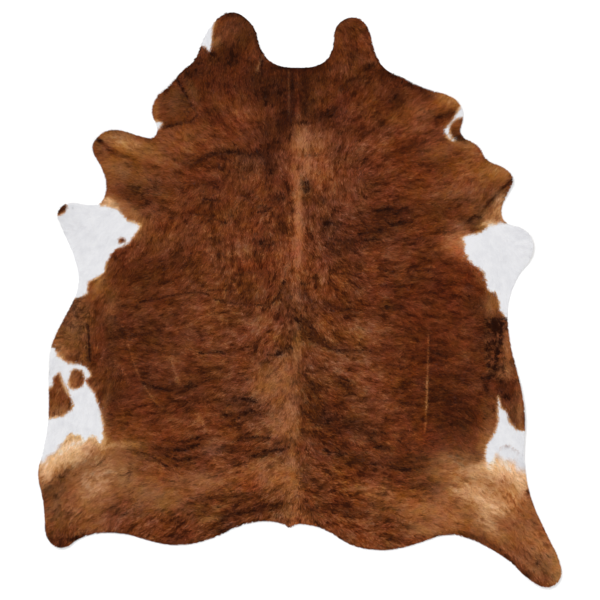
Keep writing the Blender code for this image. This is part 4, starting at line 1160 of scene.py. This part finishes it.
# the coat: small closed locks of hair that lie along the lay, each with a root, a waist and a tip (m, degrees
# and shares)
coat = dict(
    layers=5, seed=11, strandSeeds=50,
    spacing=0.00368, jitter=0.5,        # the lattice of roots (m), and how far they stray in shares of it
    rootDepth=0.0006,                   # how far inside the edge every root is
    length=0.0175, lengthSpread=0.30, shortest=0.003,
    waist=0.36, shownAt=0.34,           # along a lock: its widest place, and where its colour is taken
    width=0.0036, widthSpread=(0.75, 1.25),
    rise=0.0022, riseSpread=(0.55, 1.15), rootRise=0.35, waistRise=(0.15, 0.45), tipRise=(0.7, 1.2),
    headingSpread=20.0, spreadWhereMixed=1.6, parting=0.55,
    rimReach=0.016, rimTurn=28.0, turnedFrom=-0.8, rimDroop=0.002,
    overhang=0.0020, overhangSpread=(0.2, 1.0), leastFacing=0.25, rimmedWithin=1.4,
    whiteFlat=0.90, whiteWide=0.30,     # white hair lies flatter and wider
    borderShort=0.45, borderReach=0.010, strokeShort=0.6, tuckReach=0.009,
    curlTurn=40.0, curl=[(0.016, 1, 51), (0.007, 1, 52)],
    # where hair stands further over the edge: view x, y, half length, half width, heading
    shaggyOverhang=0.0050,
    shaggy=[(163, 92, 22, 12, 55), (420, 90, 42, 9, -22), (213, 30, 18, 6, 70), (480, 150, 24, 8, -50),
            (95, 535, 30, 5, 5), (236, 527, 30, 5, 20), (298, 67, 42, 5, 0), (456, 536, 34, 5, 0),
            (396, 77, 26, 5, -22), (206, 45, 8, 12, 0), (105, 183, 5, 24, 0), (508, 190, 5, 18, -30)])


# a jittered lattice of roots over the hide
def hairRoots(random):
    roots = crossings(np.arange(cadLow.x, cadHigh.x, coat["spacing"]),
                      np.arange(cadLow.y, cadHigh.y, coat["spacing"]))
    roots = roots + random.uniform(-coat["jitter"], coat["jitter"], roots.shape) * coat["spacing"]
    depth, nearest = depthInHide(roots)
    kept = depth > coat["rootDepth"]
    return roots[kept], depth[kept], nearest[kept]


# beside the cheek's tuck a lock lies along it, so that the crease shows as a clean line
def alongTuck(roots, angle):
    distance, place = nearestTuck(roots)
    gap = roots - place
    along = np.arctan2(gap[:, 1], gap[:, 0]) + math.pi / 2
    along = np.where(np.cos(along - angle) < 0, along + math.pi, along)
    turn = (along - angle + math.pi) % (2 * math.pi) - math.pi
    return angle + turn * np.exp(-(distance / coat["tuckReach"]) ** 2)


# each lock's angle: along the lay, with a spread, curled on the inserts, turned outwards beside the edge
def lockAngle(random, roots, depth, outward):
    count = len(roots)
    heading = layAt(roots)
    sense = senseAt(roots)
    # where the strokes around oppose each other, single locks point either way, so that no hard parting shows
    lean = (heading * sense[:, :2]).sum(1) + coat["parting"] * random.uniform(-1, 1, count)
    heading = heading * np.where(lean < 0, -1, 1)[:, None]
    angle = np.arctan2(heading[:, 1], heading[:, 0])
    spread = coat["headingSpread"] * (1 + coat["spreadWhereMixed"] * (1 - sense[:, 2]))
    angle += np.radians(spread) * random.normal(size=count)
    angle += np.radians(coat["curlTurn"]) * insertAt(roots) * layeredNoise(roots, coat["curl"])
    angle = alongTuck(roots, angle)
    direction = directionOf(angle)
    side = direction[:, 0] * outward[:, 1] - direction[:, 1] * outward[:, 0]
    turn = np.radians(coat["rimTurn"]) * np.exp(-depth / coat["rimReach"]) * np.sign(side)
    return angle + turn * ((direction * outward).sum(1) > coat["turnedFrom"])


# each lock's direction and length: short beside strokes and white borders, cut back where it would pass the
# edge too far
def lockLay(random, roots, depth, nearest):
    outward = unit(nearest - roots)
    direction = directionOf(lockAngle(random, roots, depth, outward))
    length = coat["length"] * (1 + coat["lengthSpread"] * random.uniform(-1, 1, len(roots)))
    length *= 1 - coat["strokeShort"] * strokeNear(roots)
    length *= 1 - coat["borderShort"] * np.exp(-(whiteEdge(roots) / coat["borderReach"]) ** 2)
    rimmed = np.flatnonzero(depth < coat["length"] * coat["rimmedWithin"])
    tips = roots[rimmed] + direction[rimmed] * length[rimmed, None]
    tipDepth, _ = depthInHide(tips)
    allowed = coat["overhang"] + coat["shaggyOverhang"] * largestCover(tips, coat["shaggy"])
    allowed = allowed * random.uniform(*coat["overhangSpread"], len(rimmed))
    over = np.maximum(-tipDepth - allowed, 0)
    facing = np.clip((direction[rimmed] * outward[rimmed]).sum(1), coat["leastFacing"], 1)
    length[rimmed] = np.maximum(length[rimmed] - over / facing, coat["shortest"])
    return direction, length


# every lock's four vertices: root, left and right of its waist, tip; the line from root to tip is its ridge
def lockVertices(random, roots, depth, direction, length, white):
    count = len(roots)
    width = coat["width"] * random.uniform(*coat["widthSpread"], count) * (1 + coat["whiteWide"] * white)
    rise = coat["rise"] * random.uniform(*coat["riseSpread"], count) * (1 - coat["whiteFlat"] * white)
    leftRise, rightRise = (rise * random.uniform(*coat["waistRise"], count) for _ in range(2))
    tipRise = rise * random.uniform(*coat["tipRise"], count)
    across = np.stack([-direction[:, 1], direction[:, 0]], 1) * (width / 2)[:, None]
    waist = roots + direction * (length * coat["waist"])[:, None]
    tips = roots + direction * length[:, None]
    waistTop = topAt(waist, roots)
    droop = np.clip(coat["rimDroop"] - depth, 0, coat["rimDroop"])
    return np.stack([np.column_stack([roots, topAt(roots) + rise * coat["rootRise"]]),
                     np.column_stack([waist + across, waistTop + leftRise]),
                     np.column_stack([waist - across, waistTop + rightRise]),
                     np.column_stack([tips, topAt(tips, roots) + tipRise - droop])], 1)


# a lock's four vertices: how they make its faces, where they lie along and across it, and in its cell of the
# bake map
lock = dict(faces=[[0, 1, 2], [3, 2, 1], [0, 3, 1], [3, 0, 2]],
            along=[0, coat["waist"], coat["waist"], 1], across=[0, -1, 1, 0],
            inCell=[(0.50, 0.06), (0.06, 0.40), (0.94, 0.40), (0.50, 0.94)])


# a map for baking in which every lock has a cell of its own, row by row in a square
def giveBakeMap(mesh, count, faces):
    cells = math.ceil(math.sqrt(count))
    index = np.arange(count)
    corner = np.stack([index % cells, index // cells], 1)
    place = (corner[:, None] + np.array(lock["inCell"])[None]) / cells
    bakeMap = mesh.uv_layers.new(name="OFBake")
    bakeMap.data.foreach_set("uv", place.reshape(-1, 2)[faces.ravel()].astype(np.float32).ravel())


# one mesh of locks with everything that its material reads
def lockMesh(name, vertices, shares, tint, strand, seeds):
    count = len(vertices)
    faces = (np.array(lock["faces"])[None] + 4 * np.arange(count)[:, None, None]).reshape(-1, 3)
    mesh = meshFromArrays(name, vertices.reshape(-1, 3), faces)
    # a lock's outline, all but the edges 0 to 3 and 1 to 2, is sharp, so that its bright upper side keeps its
    # own shading
    ends = np.empty(len(mesh.edges) * 2, np.int32)
    mesh.edges.foreach_get("vertices", ends)
    onOutline = (ends.reshape(-1, 2) % 4).sum(1) != 3
    mesh.attributes.new("sharp_edge", "BOOLEAN", "EDGE").data.foreach_set("value", onOutline)
    giveBakeMap(mesh, count, faces)
    across, along = np.tile(lock["across"], count), np.tile(lock["along"], count)
    giveShares(mesh, {key: np.repeat(values, 4) for key, values in shares.items()})
    giveShares(mesh, dict(strand=np.repeat(strand, 4), along=along))
    giveVectors(mesh, "tint", np.repeat(tint, 4, axis=0))
    giveVectors(mesh, "strandPlace", np.column_stack([across, along, np.repeat(seeds, 4)]))
    return mesh


# roots, lay, colour and shape of all locks at once, then the locks dealt out into layers in random order
def buildCoat():
    random = np.random.default_rng(coat["seed"])
    roots, depth, nearest = hairRoots(random)
    hairRandom = random.uniform(-1, 1, len(roots))
    direction, length = lockLay(random, roots, depth, nearest)
    shown = roots + direction * (length * coat["shownAt"])[:, None]
    shares, tint = coatLook(shown, hairRandom, depth)
    vertices = lockVertices(random, roots, depth, direction, length, shares["white"])
    seeds = random.uniform(0, coat["strandSeeds"], len(roots))
    order = random.permutation(len(roots))
    material = hairMaterial()
    pieces = []
    for layer, chosen in enumerate(np.array_split(order, coat["layers"])):
        name = f"hair_{layer + 1}"
        chosenShares = {key: values[chosen] for key, values in shares.items()}
        mesh = lockMesh(name, vertices[chosen], chosenShares, tint[chosen], hairRandom[chosen], seeds[chosen])
        mesh.materials.append(material)
        piece = placeObject(name, mesh)
        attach(piece, "root")
        pieces.append(piece)
        print(f"hair layer {layer + 1}:", len(mesh.polygons), "triangles")
    return pieces


hairPieces = buildCoat()

# floor, light and camera, in metres and degrees
studio = dict(floorSize=30.0, floorDrop=0.0005, floorGrain=(2.0, 2.0), floorRoughness=0.9,
              floorPaint=[(0, (0.90, 0.90, 0.90)), (1, (0.96, 0.96, 0.96))],
              world=0.94, sideLight=1.5, sideSoftness=30.0, sideFrom=(-3.4, 3.4, 4.2),
              sideTurn=(-39.0, -39.0, 0.0), cameraHeight=6.2, sensor=36.0, clipEnd=30.0)


# one pale square under everything, its paint faintly clouded
def buildFloor():
    half, drop = studio["floorSize"] / 2, -studio["floorDrop"]
    corners = np.array([[-half, -half, drop], [half, -half, drop], [half, half, drop], [-half, half, drop]])
    floor = placeObject("floor", meshFromArrays("floor", corners, np.array([[0, 1, 2, 3]])))
    nodes = Nodes("floor_paint")
    grain = nodes.noise(nodes.place(), *studio["floorGrain"])
    nodes.link(nodes.ramp(grain, studio["floorPaint"]), nodes.shader.inputs["Base Color"])
    nodes.shader.inputs["Roughness"].default_value = studio["floorRoughness"]
    floor.data.materials.append(nodes.material)
    return floor


# white all round and one soft light from the side
def buildLight():
    world = bpy.data.worlds.new("studio")
    world.use_nodes = True
    background = world.node_tree.nodes["Background"]
    background.inputs["Color"].default_value = (1, 1, 1, 1)
    background.inputs["Strength"].default_value = studio["world"]
    bpy.context.scene.world = world
    lamp = bpy.data.lights.new("side_light", "SUN")
    lamp.energy = studio["sideLight"]
    lamp.angle = math.radians(studio["sideSoftness"])
    light = placeObject("side_light", lamp)
    light.location = studio["sideFrom"]
    light.rotation_euler = [math.radians(turn) for turn in studio["sideTurn"]]


# straight above the middle of the view, with a lens that fits its width
def buildCamera():
    camera = placeObject("camera", bpy.data.cameras.new("camera"))
    camera.data.sensor_width = studio["sensor"]
    camera.data.lens = studio["sensor"] * studio["cameraHeight"] / (view["size"] * perPixel)
    camera.data.clip_end = studio["clipEnd"]
    camera.location = (*onHide(view["size"] / 2, view["size"] / 2), studio["cameraHeight"])
    bpy.context.scene.camera = camera


buildFloor()
buildLight()
buildCamera()
bpy.context.scene.view_settings.view_transform = "Standard"
print("studio set")
